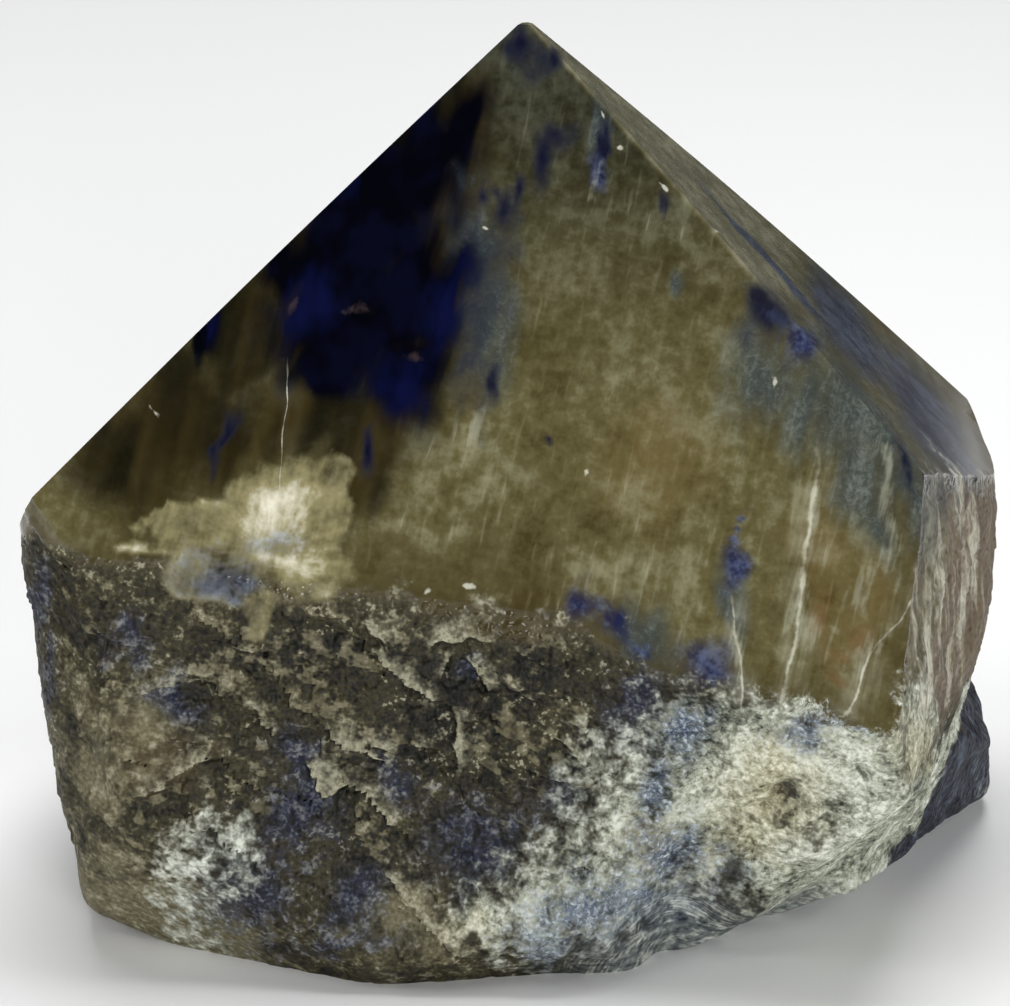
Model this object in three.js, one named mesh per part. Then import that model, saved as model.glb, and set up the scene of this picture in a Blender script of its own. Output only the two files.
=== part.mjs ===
// Rough sodalite point: one lump of stone, 80 mm wide and 72 mm high. The upper half is
// ground into five polished facets that meet in a tip, and the lower half is left as broken.
// Millimetres, +Z up. The origin is on the resting face, straight under the tip.
// Azimuths are compass-like: 0 degrees faces -Y, the front, and 90 degrees faces +X.
import * as THREE from 'three';

// ---- driving dimensions ----------------------------------------------------------------
const APEX_HEIGHT = 72.65;     // where the facets would meet if the tip were sharp
const TIP_HEIGHT = 72.1;       // the little flat worn on the tip
const CENTRE_HEIGHT = 30;      // every radius of the stone is measured from this point
const CROWN_RISE = 0.4;        // hand-held grinding leaves each facet this much domed
const CROWN_REACH = 38;        // height below the tip over which a facet is domed
const EDGE_SOFTNESS = 0.5;     // how far the broken edges are rubbed round

// Polished facets, through the apex: azimuth, and tilt from level, in degrees.
const FACETS = [
  { name: 'front', azimuth: 0, tilt: 57 },
  { name: 'right', azimuth: 90, tilt: 45.5 },
  { name: 'rear right', azimuth: 145, tilt: 46.4 },
  { name: 'rear left', azimuth: -162, tilt: 50 },
  { name: 'left', azimuth: -115, tilt: 52 },
];

// Broken faces: azimuth and elevation of the outward normal in degrees, and distance in mm.
// The front is broken in two: a steep face on the left and a chalky one, leaning in, on the right.
const BREAK_FACE = { azimuth: -3.5, elevation: 3.4, distance: 26.2 };
const CRUST_FACE = { azimuth: -10.2, elevation: -21.6, distance: 26.5 };
const FRONT_BLEND = { from: 2, to: 32 };
const FRONT_SPAN = 88;
const BASE_RISE = { azimuth: 51.8, elevation: -64.6, distance: 36.4 };
const WALLS = [
  { name: 'front left chamfer', azimuth: -48.5, elevation: -7, distance: 41.4 },
  { name: 'left flank', azimuth: -84, elevation: -8, distance: 40.2 },
  { name: 'lower left corner', azimuth: -50, elevation: -45, distance: 46.4 },
  { name: 'front left foot', azimuth: -26, elevation: -30, distance: 39.3 },
  { name: 'front keel', azimuth: 7, elevation: -40, distance: 37.2 },
  { name: 'right flank', azimuth: 72.6, elevation: 3.7, distance: 36.3 },
  { name: 'lower right flank', azimuth: 80, elevation: -16, distance: 38.2 },
  { name: 'front right underside', azimuth: 50, elevation: -46, distance: 37.6 },
  { name: 'base rise', ...BASE_RISE },
  { name: 'right rear', azimuth: 95, elevation: -5, distance: 38.6 },
  { name: 'rear right', azimuth: 126, elevation: 3, distance: 41.7 },
  { name: 'rear', azimuth: 174, elevation: 2, distance: 27.0 },
  { name: 'rear left', azimuth: -140, elevation: -3, distance: 36.0 },
  { name: 'left rear', azimuth: -104, elevation: -6, distance: 39.5 },
  { name: 'rear foot', azimuth: 165, elevation: -38, distance: 37.0 },
  { name: 'rear left foot', azimuth: -120, elevation: -40, distance: 41.0 },
  { name: 'base rise at the left', azimuth: -100, elevation: -70, distance: 37.2 },
  { name: 'base rise at the rear', azimuth: 172, elevation: -68, distance: 35.4 },
];

// A low shoulder that sticks out at the right, behind the flank.
const SHOULDER = [
  { name: 'side', azimuth: 95, elevation: 6, distance: 37.6 },
  { name: 'front', azimuth: 60, elevation: -14, distance: 35.8 },
  { name: 'top', azimuth: 86, elevation: 42, distance: 14.6 },
  { name: 'rear top', azimuth: 135, elevation: 40, distance: 18.5 },
  { name: 'rear', azimuth: 140, elevation: 0, distance: 36.0 },
  { name: 'base rise', ...BASE_RISE },
];
const SHOULDER_SPAN = { start: 42, full: 60, fade: 108, end: 150 };
const SHOULDER_FILLET = 1.2;

// Relief of the broken surface: sizes and heights in mm, each with its own noise seed.
const SWELL = { size: 17, height: 1.0, seed: 1 };
const RIPPLE = { size: 8, height: 0.5, seed: 2 };
const LEDGE = { pitch: 6, height: 1.1, drop: 0.84, middle: 0.42, towards: [-0.47, 0.1, -0.87] };
const LEDGE_BEND = { size: 11, share: 0.9, seed: 3 };
const LEDGE_WANDER = { size: 4.6, share: 0.45, seed: 4 };
const LEDGE_PATCH = { size: 12, edge: 0.25, seed: 5 };
const HOLLOW = { size: 6.5, height: 0.5, seed: 6 };
const LAYER = { pitch: 2.4, height: 0.45, azimuth: 33, elevation: -70, bend: 0.5, size: 9, seed: 7 };
const CRUST_LUMP = { size: 3.6, height: 0.55, seed: 8 };
const COLUMN = { perRadian: 8, height: 0.35, bend: 0.9, size: 9, seed: 9 };

// Close to the resting face the relief is worn down to this share of its height.
const RIM_WEAR = { share: 0.35, height: 5 };

// Pits: place, radius and depth in mm.
const PITS = [
  { name: 'deep pit in the crust', place: [22.3, -26.5, 18.0], radius: 2.0, depth: 1.8 },
  { name: 'small pit in the crust', place: [27.9, -27.6, 19.4], radius: 1.3, depth: 1.0 },
  { name: 'pit over the keel', place: [1.0, -22.3, 6.5], radius: 1.6, depth: 1.0 },
  { name: 'pit in the steep face', place: [-4.7, -24.0, 9.5], radius: 1.2, depth: 0.9 },
];

// Chips broken off the front: a lip runs from one end to the other, [x, z] in mm, and the
// stone on its right-hand side, going that way, is lower by the depth, less with distance.
const CHIPS = [
  { name: 'upper flake', from: [-7.6, 31.3], to: [-3.6, 29.7], depth: 0.9 },
  { name: 'long diagonal lip', from: [-11.4, 28.4], to: [-7.9, 24.7], depth: 1.1 },
  { name: 'stub beside it', from: [-4.5, 27.8], to: [-3.2, 25.5], depth: 0.8 },
  { name: 'wedge, left arm', from: [-30.5, 24.9], to: [-25.4, 25.9], depth: 0.9 },
  { name: 'wedge, right arm', from: [-25.4, 25.9], to: [-19.8, 21.9], depth: 0.9 },
  { name: 'smooth slab, left foot', from: [-32.3, 16.7], to: [-27.8, 17.6], depth: 0.9 },
  { name: 'smooth slab, right foot', from: [-27.8, 17.6], to: [-24.5, 19.3], depth: 0.9 },
  { name: 'middle flake', from: [-15.7, 22.6], to: [-12.3, 19.6], depth: 0.9 },
  { name: 'pale slab, upper edge', from: [-17.6, 18.3], to: [-13.9, 17.6], depth: 1.1 },
  { name: 'pale slab, lower edge', from: [-13.9, 17.6], to: [-10.5, 14.1], depth: 1.1 },
  { name: 'upright lip', from: [-6.1, 23.3], to: [-5.7, 18.9], depth: 0.8 },
  { name: 'tooth, left side', from: [2.4, 21.4], to: [4.4, 20.0], depth: 0.9 },
  { name: 'tooth, right side', from: [4.4, 20.0], to: [5.1, 23.6], depth: 0.9 },
  { name: 'low diagonal lip', from: [-10.9, 10.4], to: [-7.9, 6.1], depth: 0.8 },
  { name: 'pale foot, left', from: [-12.7, 6.8], to: [-4.4, 7.9], depth: -0.7 },
  { name: 'pale foot, right', from: [-4.4, 7.9], to: [0.3, 7.1], depth: -0.7 },
];
const CHIP = { reach: 4, drop: 0.8, lift: 0.3, liftReach: 1.2, end: 0.12, span: 60 };
const CHIP_WANDER = { size: 3, height: 0.5, seed: 10 };

// The net of faces: columns round the stone, rows down its polished, broken and resting parts.
const COLUMNS = 116;
const POLISHED_ROWS = 6;
const BROKEN_ROWS = 30;
const RESTING_ROWS = 3;

const DEGREE = Math.PI / 180;
const CENTRE = new THREE.Vector3(0, 0, CENTRE_HEIGHT);
const FAR = 300;               // stands for a plane that a ray never meets

// ---- small helpers ---------------------------------------------------------------------
function direction(azimuth, elevation) {
  const flat = Math.cos(elevation * DEGREE);
  return new THREE.Vector3(
    Math.sin(azimuth * DEGREE) * flat,
    -Math.cos(azimuth * DEGREE) * flat,
    Math.sin(elevation * DEGREE),
  );
}

function smoothStep(low, high, value) {
  const t = Math.min(Math.max((value - low) / (high - low), 0), 1);
  return t * t * (3 - 2 * t);
}

function fraction(value) {
  return value - Math.floor(value);
}

// How far along ray u the plane lies whose unit normal and distance from the centre are given.
function planeRadius(normal, distance, u) {
  const facing = u.dot(normal);
  return facing > 1e-3 ? Math.min(distance / facing, FAR) : FAR;
}

function wallRadius(wall, u) {
  return planeRadius(direction(wall.azimuth, wall.elevation), wall.distance, u);
}

// The least of the values, with the corner between two near-equal ones rubbed round.
function softMinimum(values, softness) {
  const least = Math.min(...values);
  const total = values.reduce((sum, value) => sum + Math.exp((least - value) / softness), 0);
  return least - softness * Math.log(total);
}

// A repeatable scatter of numbers from 0 to 1 on the corners of a cubic lattice.
function scatter(i, j, k, seed) {
  return fraction(Math.sin(i * 127.1 + j * 311.7 + k * 74.7 + seed * 53.3) * 43758.5453);
}

function ease(t) {
  return t * t * t * (t * (t * 6 - 15) + 10);
}

// Smooth noise from -1 to 1: the lattice's numbers, eased from corner to corner.
function noise(point, size, seed) {
  const q = point.clone().divideScalar(size);
  const corner = q.clone().floor();
  const t = q.clone().sub(corner);
  let sum = 0;
  for (const dx of [0, 1]) {
    const wx = dx ? ease(t.x) : 1 - ease(t.x);
    for (const dy of [0, 1]) {
      const wy = dy ? ease(t.y) : 1 - ease(t.y);
      for (const dz of [0, 1]) {
        const wz = dz ? ease(t.z) : 1 - ease(t.z);
        sum += wx * wy * wz * scatter(corner.x + dx, corner.y + dy, corner.z + dz, seed);
      }
    }
  }
  return sum * 2 - 1;
}

// Distance, in cells, to the nearest of the points strewn one to a cell: rounded hollows
// where it is small, and crests where it is large.
function cellDistance(point, size, seed) {
  const q = point.clone().divideScalar(size);
  const corner = q.clone().floor();
  let nearest = FAR;
  for (const dx of [-1, 0, 1]) {
    for (const dy of [-1, 0, 1]) {
      for (const dz of [-1, 0, 1]) {
        const i = corner.x + dx;
        const j = corner.y + dy;
        const k = corner.z + dz;
        const x = i + scatter(i, j, k, seed) - q.x;
        const y = j + scatter(i, j, k, seed + 1) - q.y;
        const z = k + scatter(i, j, k, seed + 2) - q.z;
        nearest = Math.min(nearest, x * x + y * y + z * z);
      }
    }
  }
  return Math.sqrt(nearest);
}

// ---- the stone, as a radius along ray u from the centre --------------------------------
function azimuthOf(u) {
  return Math.atan2(u.x, -u.y) / DEGREE;
}

function facetRadius(facet, u) {
  const normal = direction(facet.azimuth, 90 - facet.tilt);
  return planeRadius(normal, normal.z * (APEX_HEIGHT - CENTRE_HEIGHT), u);
}

// Five flat facets and the worn tip, each facet domed a little between tip and girdle.
function polishedRadius(u) {
  const tip = planeRadius(new THREE.Vector3(0, 0, 1), TIP_HEIGHT - CENTRE_HEIGHT, u);
  const radius = Math.min(tip, ...FACETS.map((facet) => facetRadius(facet, u)));
  const height = CENTRE_HEIGHT + u.z * Math.min(radius, 200);
  const down = Math.min(Math.max((TIP_HEIGHT - height) / CROWN_REACH, 0), 1);
  return radius + CROWN_RISE * 4 * down * (1 - down);
}

// Broken faces, rubbed round where they meet, with the shoulder filleted on at the right.
function brokenRadius(u) {
  const azimuth = azimuthOf(u);
  const crust = smoothStep(FRONT_BLEND.from, FRONT_BLEND.to, azimuth);
  const front = wallRadius(BREAK_FACE, u) * (1 - crust) + wallRadius(CRUST_FACE, u) * crust;
  const faces = WALLS.map((wall) => wallRadius(wall, u));
  const body = softMinimum([Math.abs(azimuth) < FRONT_SPAN ? front : FAR, ...faces], EDGE_SOFTNESS);
  const span = smoothStep(SHOULDER_SPAN.start, SHOULDER_SPAN.full, azimuth)
    * (1 - smoothStep(SHOULDER_SPAN.fade, SHOULDER_SPAN.end, azimuth));
  const shoulder = span * softMinimum(SHOULDER.map((wall) => wallRadius(wall, u)), EDGE_SOFTNESS);
  const gap = Math.abs(body - shoulder);
  return Math.max(body, shoulder) + SHOULDER_FILLET / 2 * Math.exp(-gap / SHOULDER_FILLET);
}

// Where each kind of broken surface lies, as shares from 0 to 1.
function surfaceShares(u) {
  const azimuth = azimuthOf(u);
  const elevation = Math.asin(u.z) / DEGREE;
  const under = smoothStep(-38, -48, elevation) * smoothStep(0, 20, azimuth)
    * (1 - smoothStep(90, 110, azimuth));
  const crust = smoothStep(8, 24, azimuth) * (1 - smoothStep(52, 66, azimuth)) * (1 - under);
  const flank = smoothStep(50, 60, azimuth) * (1 - smoothStep(95, 125, azimuth)) * (1 - under);
  const corner = smoothStep(-38, -50, azimuth) * (1 - smoothStep(-75, -85, azimuth))
    * smoothStep(-26, -36, elevation);
  const ledges = (1 - crust) * (1 - under) * (1 - flank * 0.7) * (1 - corner * 0.8);
  return { under, crust, flank, corner, ledges };
}

// A row of ridges: 1 on each crest and 0 in each valley, once for every whole number.
function ridges(value) {
  return Math.abs(fraction(value) - 0.5) * 2;
}

// Ledges rise slowly towards the lower left and then drop at once, as layers flake off.
function ledgeHeight(point) {
  const towards = new THREE.Vector3(...LEDGE.towards).normalize();
  const along = point.dot(towards) / LEDGE.pitch
    + LEDGE_BEND.share * noise(point, LEDGE_BEND.size, LEDGE_BEND.seed)
    + LEDGE_WANDER.share * noise(point, LEDGE_WANDER.size, LEDGE_WANDER.seed);
  const rise = fraction(along);
  const patch = smoothStep(-LEDGE_PATCH.edge, LEDGE_PATCH.edge,
    noise(point, LEDGE_PATCH.size, LEDGE_PATCH.seed));
  return LEDGE.height * (rise - smoothStep(LEDGE.drop, 1, rise) - LEDGE.middle) * patch;
}

function layerHeight(point) {
  const across = point.dot(direction(LAYER.azimuth, LAYER.elevation)) / LAYER.pitch;
  const value = across + LAYER.bend * noise(point, LAYER.size, LAYER.seed);
  return LAYER.height * (ridges(value) - 0.5);
}

function columnHeight(point, u) {
  const round = azimuthOf(u) * DEGREE * COLUMN.perRadian;
  const value = round + COLUMN.bend * noise(point, COLUMN.size, COLUMN.seed);
  return COLUMN.height * (ridges(value) - 0.5);
}

// Across a lip the stone swells a little, drops, and then comes back to its level.
function chipStep(chip, point, wander) {
  const [dx, dz] = [chip.to[0] - chip.from[0], chip.to[1] - chip.from[1]];
  const [x, z] = [point.x - chip.from[0], point.z - chip.from[1]];
  const length = Math.hypot(dx, dz);
  const along = (x * dx + z * dz) / length ** 2;
  const past = (x * dz - z * dx) / length + wander;
  const within = smoothStep(-CHIP.end, CHIP.end, along)
    * (1 - smoothStep(1 - CHIP.end, 1 + CHIP.end, along));
  const drop = smoothStep(0, CHIP.drop, past);
  const swell = CHIP.lift * Math.exp(Math.min(past, 0) / CHIP.liftReach) * (1 - drop);
  return chip.depth * within * (swell - drop * Math.exp(-Math.max(past, 0) / CHIP.reach));
}

function chipHeight(point, u) {
  if (Math.abs(azimuthOf(u)) > CHIP.span) {
    return 0;
  }
  const wander = CHIP_WANDER.height * noise(point, CHIP_WANDER.size, CHIP_WANDER.seed);
  return CHIPS.reduce((sum, chip) => sum + chipStep(chip, point, wander), 0);
}

function pitDepth(point) {
  return PITS.reduce((sum, pit) => {
    const away = point.distanceTo(new THREE.Vector3(...pit.place)) / pit.radius;
    return sum + pit.depth * Math.exp(-1.5 * away * away);
  }, 0);
}

function relief(point, u) {
  const share = surfaceShares(u);
  const hollow = Math.min(cellDistance(point, HOLLOW.size, HOLLOW.seed), 0.9) - 0.5;
  const height = SWELL.height * noise(point, SWELL.size, SWELL.seed)
    + RIPPLE.height * noise(point, RIPPLE.size, RIPPLE.seed) * (1 - 0.5 * share.corner)
    + ledgeHeight(point) * share.ledges
    + HOLLOW.height * hollow * (0.4 + 0.6 * share.ledges)
    + layerHeight(point) * share.under
    + CRUST_LUMP.height * noise(point, CRUST_LUMP.size, CRUST_LUMP.seed) * share.crust
    + columnHeight(point, u) * share.flank
    + chipHeight(point, u)
    - pitDepth(point);
  return height * (RIM_WEAR.share + (1 - RIM_WEAR.share) * smoothStep(0, RIM_WEAR.height, point.z));
}

function pointAt(u, radius) {
  return CENTRE.clone().addScaledVector(u, radius);
}

function roughRadius(u) {
  const radius = brokenRadius(u);
  return radius + relief(pointAt(u, radius), u);
}

function restingRadius(u) {
  return u.z < -1e-3 ? CENTRE_HEIGHT / -u.z : FAR;
}

function surfacePoint(u) {
  return pointAt(u, Math.min(polishedRadius(u), roughRadius(u), restingRadius(u)));
}

// ---- the net of faces ------------------------------------------------------------------
// Neighbouring facets meet in a ridge that runs straight down from the tip, at one azimuth.
function ridgeAzimuths() {
  const order = [...FACETS].sort((a, b) => a.azimuth - b.azimuth);
  const normals = order.map((facet) => direction(facet.azimuth, 90 - facet.tilt));
  return normals.map((normal, i) => {
    const line = normal.clone().cross(normals[(i + 1) % normals.length]);
    return azimuthOf(line.z > 0 ? line.negate() : line);
  });
}

// Even columns, with the nearest one moved onto each ridge so that the ridge stays crisp.
function columnAzimuths() {
  const azimuths = Array.from({ length: COLUMNS }, (_, i) => 360 * i / COLUMNS - 180);
  for (const ridge of ridgeAzimuths()) {
    const gaps = azimuths.map((azimuth) => Math.abs(azimuth - ridge));
    azimuths[gaps.indexOf(Math.min(...gaps))] = ridge;
  }
  return azimuths;
}

// The angle down from straight up, along one column, at which difference(u) turns positive.
function crossing(azimuth, difference, low, high) {
  let above = low;
  let below = high;
  for (let step = 0; step < 30; step += 1) {
    const middle = (above + below) / 2;
    if (difference(direction(azimuth, 90 - middle)) < 0) {
      above = middle;
    } else {
      below = middle;
    }
  }
  return (above + below) / 2;
}

// The angle down to the rim of the worn tip: the steepest facet in this column decides it.
function tipAngle(azimuth) {
  const slopes = FACETS.map((facet) => (
    Math.tan(facet.tilt * DEGREE) * Math.cos((azimuth - facet.azimuth) * DEGREE)
  ));
  const reach = (APEX_HEIGHT - TIP_HEIGHT) / Math.max(...slopes);
  return Math.atan2(reach, TIP_HEIGHT - CENTRE_HEIGHT) / DEGREE;
}

// The angles of one column's rows, with a row on the tip's rim, on the border between the
// polish and the break, and on the rim of the resting face.
function columnAngles(azimuth) {
  const tip = tipAngle(azimuth);
  const girdle = crossing(azimuth, (u) => polishedRadius(u) - roughRadius(u), 25, 118);
  const rim = crossing(azimuth, (u) => roughRadius(u) - restingRadius(u), 100, 176);
  const angles = [0];
  for (let row = 0; row < POLISHED_ROWS; row += 1) {
    angles.push(tip + (girdle - tip) * row / (POLISHED_ROWS - 1));
  }
  for (let row = 1; row <= BROKEN_ROWS; row += 1) {
    angles.push(girdle + (rim - girdle) * row / BROKEN_ROWS);
  }
  for (let row = 1; row <= RESTING_ROWS; row += 1) {
    angles.push(rim + (180 - rim) * row / RESTING_ROWS);
  }
  return angles;
}

function stoneGeometry() {
  const rows = POLISHED_ROWS + BROKEN_ROWS + RESTING_ROWS;
  const geometry = new THREE.SphereGeometry(1, COLUMNS, rows);
  const positions = geometry.getAttribute('position');
  columnAzimuths().forEach((azimuth, column) => {
    columnAngles(azimuth).forEach((angle, row) => {
      const point = surfacePoint(direction(azimuth, 90 - angle));
      const index = row * (COLUMNS + 1) + column;
      positions.setXYZ(index, point.x, point.y, point.z);
      if (column === 0) {
        positions.setXYZ(index + COLUMNS, point.x, point.y, point.z);
      }
    });
  });
  geometry.computeVertexNormals();
  return geometry;
}

// ---- the stone -------------------------------------------------------------------------
const stoneMaterial = new THREE.MeshStandardMaterial({
  color: 0x5f5436,
  roughness: 0.55,
  metalness: 0,
});

const stone = new THREE.Mesh(stoneGeometry(), stoneMaterial);
stone.name = 'sodalite_stone';

const group = new THREE.Group();
group.name = 'rough_sodalite';
group.add(stone);

export default group;
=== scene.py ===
"""A rough sodalite stone, 72 mm high, that stands on a small flat spot.
Its upper part is ground to five polished facets that meet in a tip.
Below them it is broken: grainy, flaky and partly covered with a chalky crust.
Lengths are millimetres until the mesh is made. Azimuth 0 faces -Y and 90 faces +X."""

import math

import bpy
import numpy as np
from mathutils import Matrix, Vector


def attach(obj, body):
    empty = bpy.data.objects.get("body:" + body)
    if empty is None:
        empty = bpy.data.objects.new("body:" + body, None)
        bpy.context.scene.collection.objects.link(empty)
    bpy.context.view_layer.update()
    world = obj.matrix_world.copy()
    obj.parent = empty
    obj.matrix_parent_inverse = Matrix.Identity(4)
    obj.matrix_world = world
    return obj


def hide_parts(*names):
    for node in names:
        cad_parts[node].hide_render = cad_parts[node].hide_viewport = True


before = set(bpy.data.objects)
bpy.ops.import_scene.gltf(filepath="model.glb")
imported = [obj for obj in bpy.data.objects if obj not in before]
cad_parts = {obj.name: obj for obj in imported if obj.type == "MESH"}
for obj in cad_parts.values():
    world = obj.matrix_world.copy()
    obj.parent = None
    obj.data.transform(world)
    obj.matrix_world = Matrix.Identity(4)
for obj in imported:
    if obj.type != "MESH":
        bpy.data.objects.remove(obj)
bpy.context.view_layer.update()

# -------------------------------- shape of the stone

MM = 0.001
CENTRE = np.array([0, 0, 30.0])
APEX = np.array([0, 0, 72.65])
TIP_HEIGHT = 72.1
FAR = 1000.0
FACET_CAP, WALL_CAP = 200, 300

# facet: azimuth and tilt from level, in degrees
FACETS = {
    "front": (0, 57),
    "right": (90, 45.5),
    "rear right": (145, 46.4),
    "rear left": (-162, 50),
    "left": (-115, 52),
}
CROWN_RISE, CROWN_REACH = 0.4, 38
CREASE_ANGLE = 38

# wall: azimuth and elevation of the way it faces, and its distance from the centre
BREAK_FACE = (-3.5, 3.4, 26.2)
CRUST_FACE = (-10.2, -21.6, 26.5)
BASE_RISE = (51.8, -64.6, 36.4)
FRONT_TURN, FRONT_END = (2, 32), 88
FILLET_RISE, FILLET_REACH = 0.6, 1.2
WALLS = {
    "front left chamfer": (-48.5, -7, 41.4),
    "left flank": (-84, -8, 40.2),
    "lower left corner": (-50, -45, 46.4),
    "front left foot": (-26, -30, 39.3),
    "front keel": (7, -40, 37.2),
    "right flank": (72.6, 3.7, 36.3),
    "lower right flank": (80, -16, 38.2),
    "front right underside": (50, -46, 37.6),
    "base rise": BASE_RISE,
    "right rear": (95, -5, 38.6),
    "rear right": (126, 3, 41.7),
    "rear": (174, 2, 27.0),
    "rear left": (-140, -3, 36.0),
    "left rear": (-104, -6, 39.5),
    "rear foot": (165, -38, 37.0),
    "rear left foot": (-120, -40, 41.0),
    "base rise left": (-100, -70, 37.2),
    "base rise rear": (172, -68, 35.4),
}
SHOULDER = {
    "side": (95, 6, 37.6),
    "front": (60, -14, 35.8),
    "top": (86, 42, 14.6),
    "rear top": (135, 40, 18.5),
    "rear": (140, 0, 36.0),
    "base rise": BASE_RISE,
}

# flake: from and to as (x, z) along its crisp edge, how far it fades, its depth and how pale it is (partly
# painted highlight)
FLAKES = [
    ((-11.4, 28.4), (-7.7, 24.7), 0.9, 0.8, 1.0),
    ((-12.7, 30.6), (-10.7, 29.2), 1.7, 0.7, 0.7),
    ((-7.5, 29.6), (-3.0, 29.8), 1.8, 0.8, 0.95),
    ((-4.7, 27.8), (-3.0, 25.5), 1.7, 0.8, 0.75),
    ((-6.9, 26.3), (-6.1, 28.4), 0.8, 0.4, 0.6),
    ((-6.1, 23.8), (-5.7, 19.0), 1.0, 0.7, 0.75),
    ((-17.5, 18.9), (-15.8, 16.7), 2.2, 0.9, 1.0),
    ((-15.8, 16.7), (-13.9, 17.1), 2.0, 0.8, 0.9),
    ((-14.1, 17.6), (-10.5, 14.1), 1.5, 0.9, 0.75),
    ((-15.5, 22.1), (-11.5, 19.4), 1.2, 0.8, 0.8),
    ((-12.2, 21.5), (-10.9, 19.7), 1.0, 0.5, 0.7),
    ((-30.6, 24.8), (-25.4, 25.9), 1.4, 0.7, 0.55),
    ((-25.4, 25.9), (-19.8, 21.8), 1.7, 0.8, 0.5),
    ((-32.4, 16.1), (-27.8, 17.5), 2.2, 0.9, 0.65),
    ((-27.8, 17.5), (-24.5, 19.3), 2.6, 0.9, 0.75),
    ((2.4, 21.3), (4.4, 19.9), 1.0, 0.7, 0.8),
    ((4.4, 19.9), (5.1, 23.6), 0.8, 0.6, 0.6),
    ((-10.9, 10.3), (-7.9, 6.1), 1.3, 0.8, 0.75),
    ((-9.9, 7.6), (-4.4, 3.3), 1.8, 0.6, 0.6),
    ((-27.0, 26.9), (-24.2, 26.4), 0.8, 0.3, 0.5),
    ((-23.2, 29.1), (-20.6, 27.9), 0.8, 0.3, 0.5),
    ((-33.9, 20.4), (-32.0, 16.3), 1.0, 0.4, 0.6),
    ((-4.3, 32.8), (-1.9, 31.9), 0.5, 0.2, 0.7),
    ((-10.4, 33.1), (-8.7, 32.6), 0.4, 0.2, 0.7),
    ((-0.5, 32.1), (2.8, 31.2), 0.5, 0.2, 0.5),
    ((-37.2, 29.3), (-32.7, 18.7), 0.6, 0.4, 0.6),
    ((-29.5, 20.5), (-24.3, 21.5), 1.2, 0.5, 0.4),
    ((-22.3, 24.4), (-20.6, 23.1), 1.0, 0.5, 0.6),
    ((-17.6, 28.6), (-15.9, 27.2), 0.9, 0.4, 0.5),
    ((-1.6, 25.7), (1.1, 23.9), 0.9, 0.6, 0.4),
    ((-0.5, 29.0), (1.7, 27.6), 0.8, 0.4, 0.4),
    ((-9.1, 21.0), (-7.5, 20.5), 0.7, 0.5, 0.5),
]
# pit: place, radius and depth
PITS = {
    "crust": ((20.7, -27.4, 17.0), 1.5, 1.6),
    "crust left end": ((19.0, -26.6, 15.6), 1.1, 0.8),
    "crust small": ((26.3, -29.8, 20.4), 0.9, 0.7),
    "front low": ((-4.6, -27.1, 11.2), 0.9, 0.8),
    "base": ((7.7, -24.6, 3.8), 1.1, 0.8),
    "base right": ((9.6, -22.9, 4.2), 0.7, 0.5),
}


def radians(degrees):
    return np.asarray(degrees, float) * math.pi / 180


def facing(azimuth, elevation):
    """Unit vector: sine and cosine of the azimuth, drawn in by the cosine of the elevation."""
    a, e = radians(azimuth), radians(elevation)
    return np.stack([np.sin(a) * np.cos(e), -np.cos(a) * np.cos(e), np.sin(e)], -1)


def rise(low, high, x):
    """0 below low, 1 above high, and a smooth S between them; low may be the greater."""
    t = np.clip((x - low) / (high - low), 0, 1)
    return t * t * (3 - 2 * t)


def scatter(i, j, k, seed):
    """A fixed number from 0 to 1 for each whole-numbered corner: the fraction of a large sine."""
    s = np.sin(i * 127.1 + j * 311.7 + k * 74.7 + seed * 53.3) * 43758.5453
    return s - np.floor(s)


def noise(p, size, seed):
    """Smooth lumps about size across, from -1 to 1: corner values blended with a fifth-power ease."""
    q = p / size
    corner = np.floor(q)
    f = q - corner
    f = f * f * f * (f * (f * 6 - 15) + 10)
    total = 0
    for dx, wx in ((0, 1 - f[..., 0]), (1, f[..., 0])):
        for dy, wy in ((0, 1 - f[..., 1]), (1, f[..., 1])):
            for dz, wz in ((0, 1 - f[..., 2]), (1, f[..., 2])):
                total = total + wx * wy * wz * scatter(
                    corner[..., 0] + dx, corner[..., 1] + dy, corner[..., 2] + dz, seed
                )
    return total * 2 - 1


def clouded(p, size, seed, roughness=0.62):
    """Three noises, each half as large as the last and weaker, about 0."""
    return 0.167 * sum(roughness**n * noise(p, size / 2**n, seed + n) for n in range(3))


def plane_radius(normal, distance, u):
    """How far along u a plane lies: its distance over the cosine to its normal."""
    c = u @ normal
    return np.where(c > 1e-3, distance / np.maximum(c, 1e-3), FAR)


def wall_radius(wall, u):
    return np.minimum(plane_radius(facing(wall[0], wall[1]), wall[2], u), WALL_CAP)


def soft_minimum(values, softness=0.5):
    """The least of the values, with its creases rounded by a log of summed exponentials."""
    v = np.stack(values)
    least = v.min(0)
    return least - softness * np.log(np.exp(-(v - least) / softness).sum(0))


def azimuth_of(u):
    return np.degrees(np.arctan2(u[..., 0], -u[..., 1]))


def polished_radius(u):
    """The nearest facet plane, raised a little between its two ends, under the blunt tip."""
    r = plane_radius(np.array([0, 0, 1.0]), TIP_HEIGHT - CENTRE[2], u)
    for azimuth, tilt in FACETS.values():
        n = facing(azimuth, 90 - tilt)
        r = np.minimum(r, plane_radius(n, n @ (APEX - CENTRE), u))
    drop = np.clip((TIP_HEIGHT - CENTRE[2] - u[..., 2] * np.minimum(r, FACET_CAP)) / CROWN_REACH, 0, 1)
    return r + CROWN_RISE * 4 * drop * (1 - drop)


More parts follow.
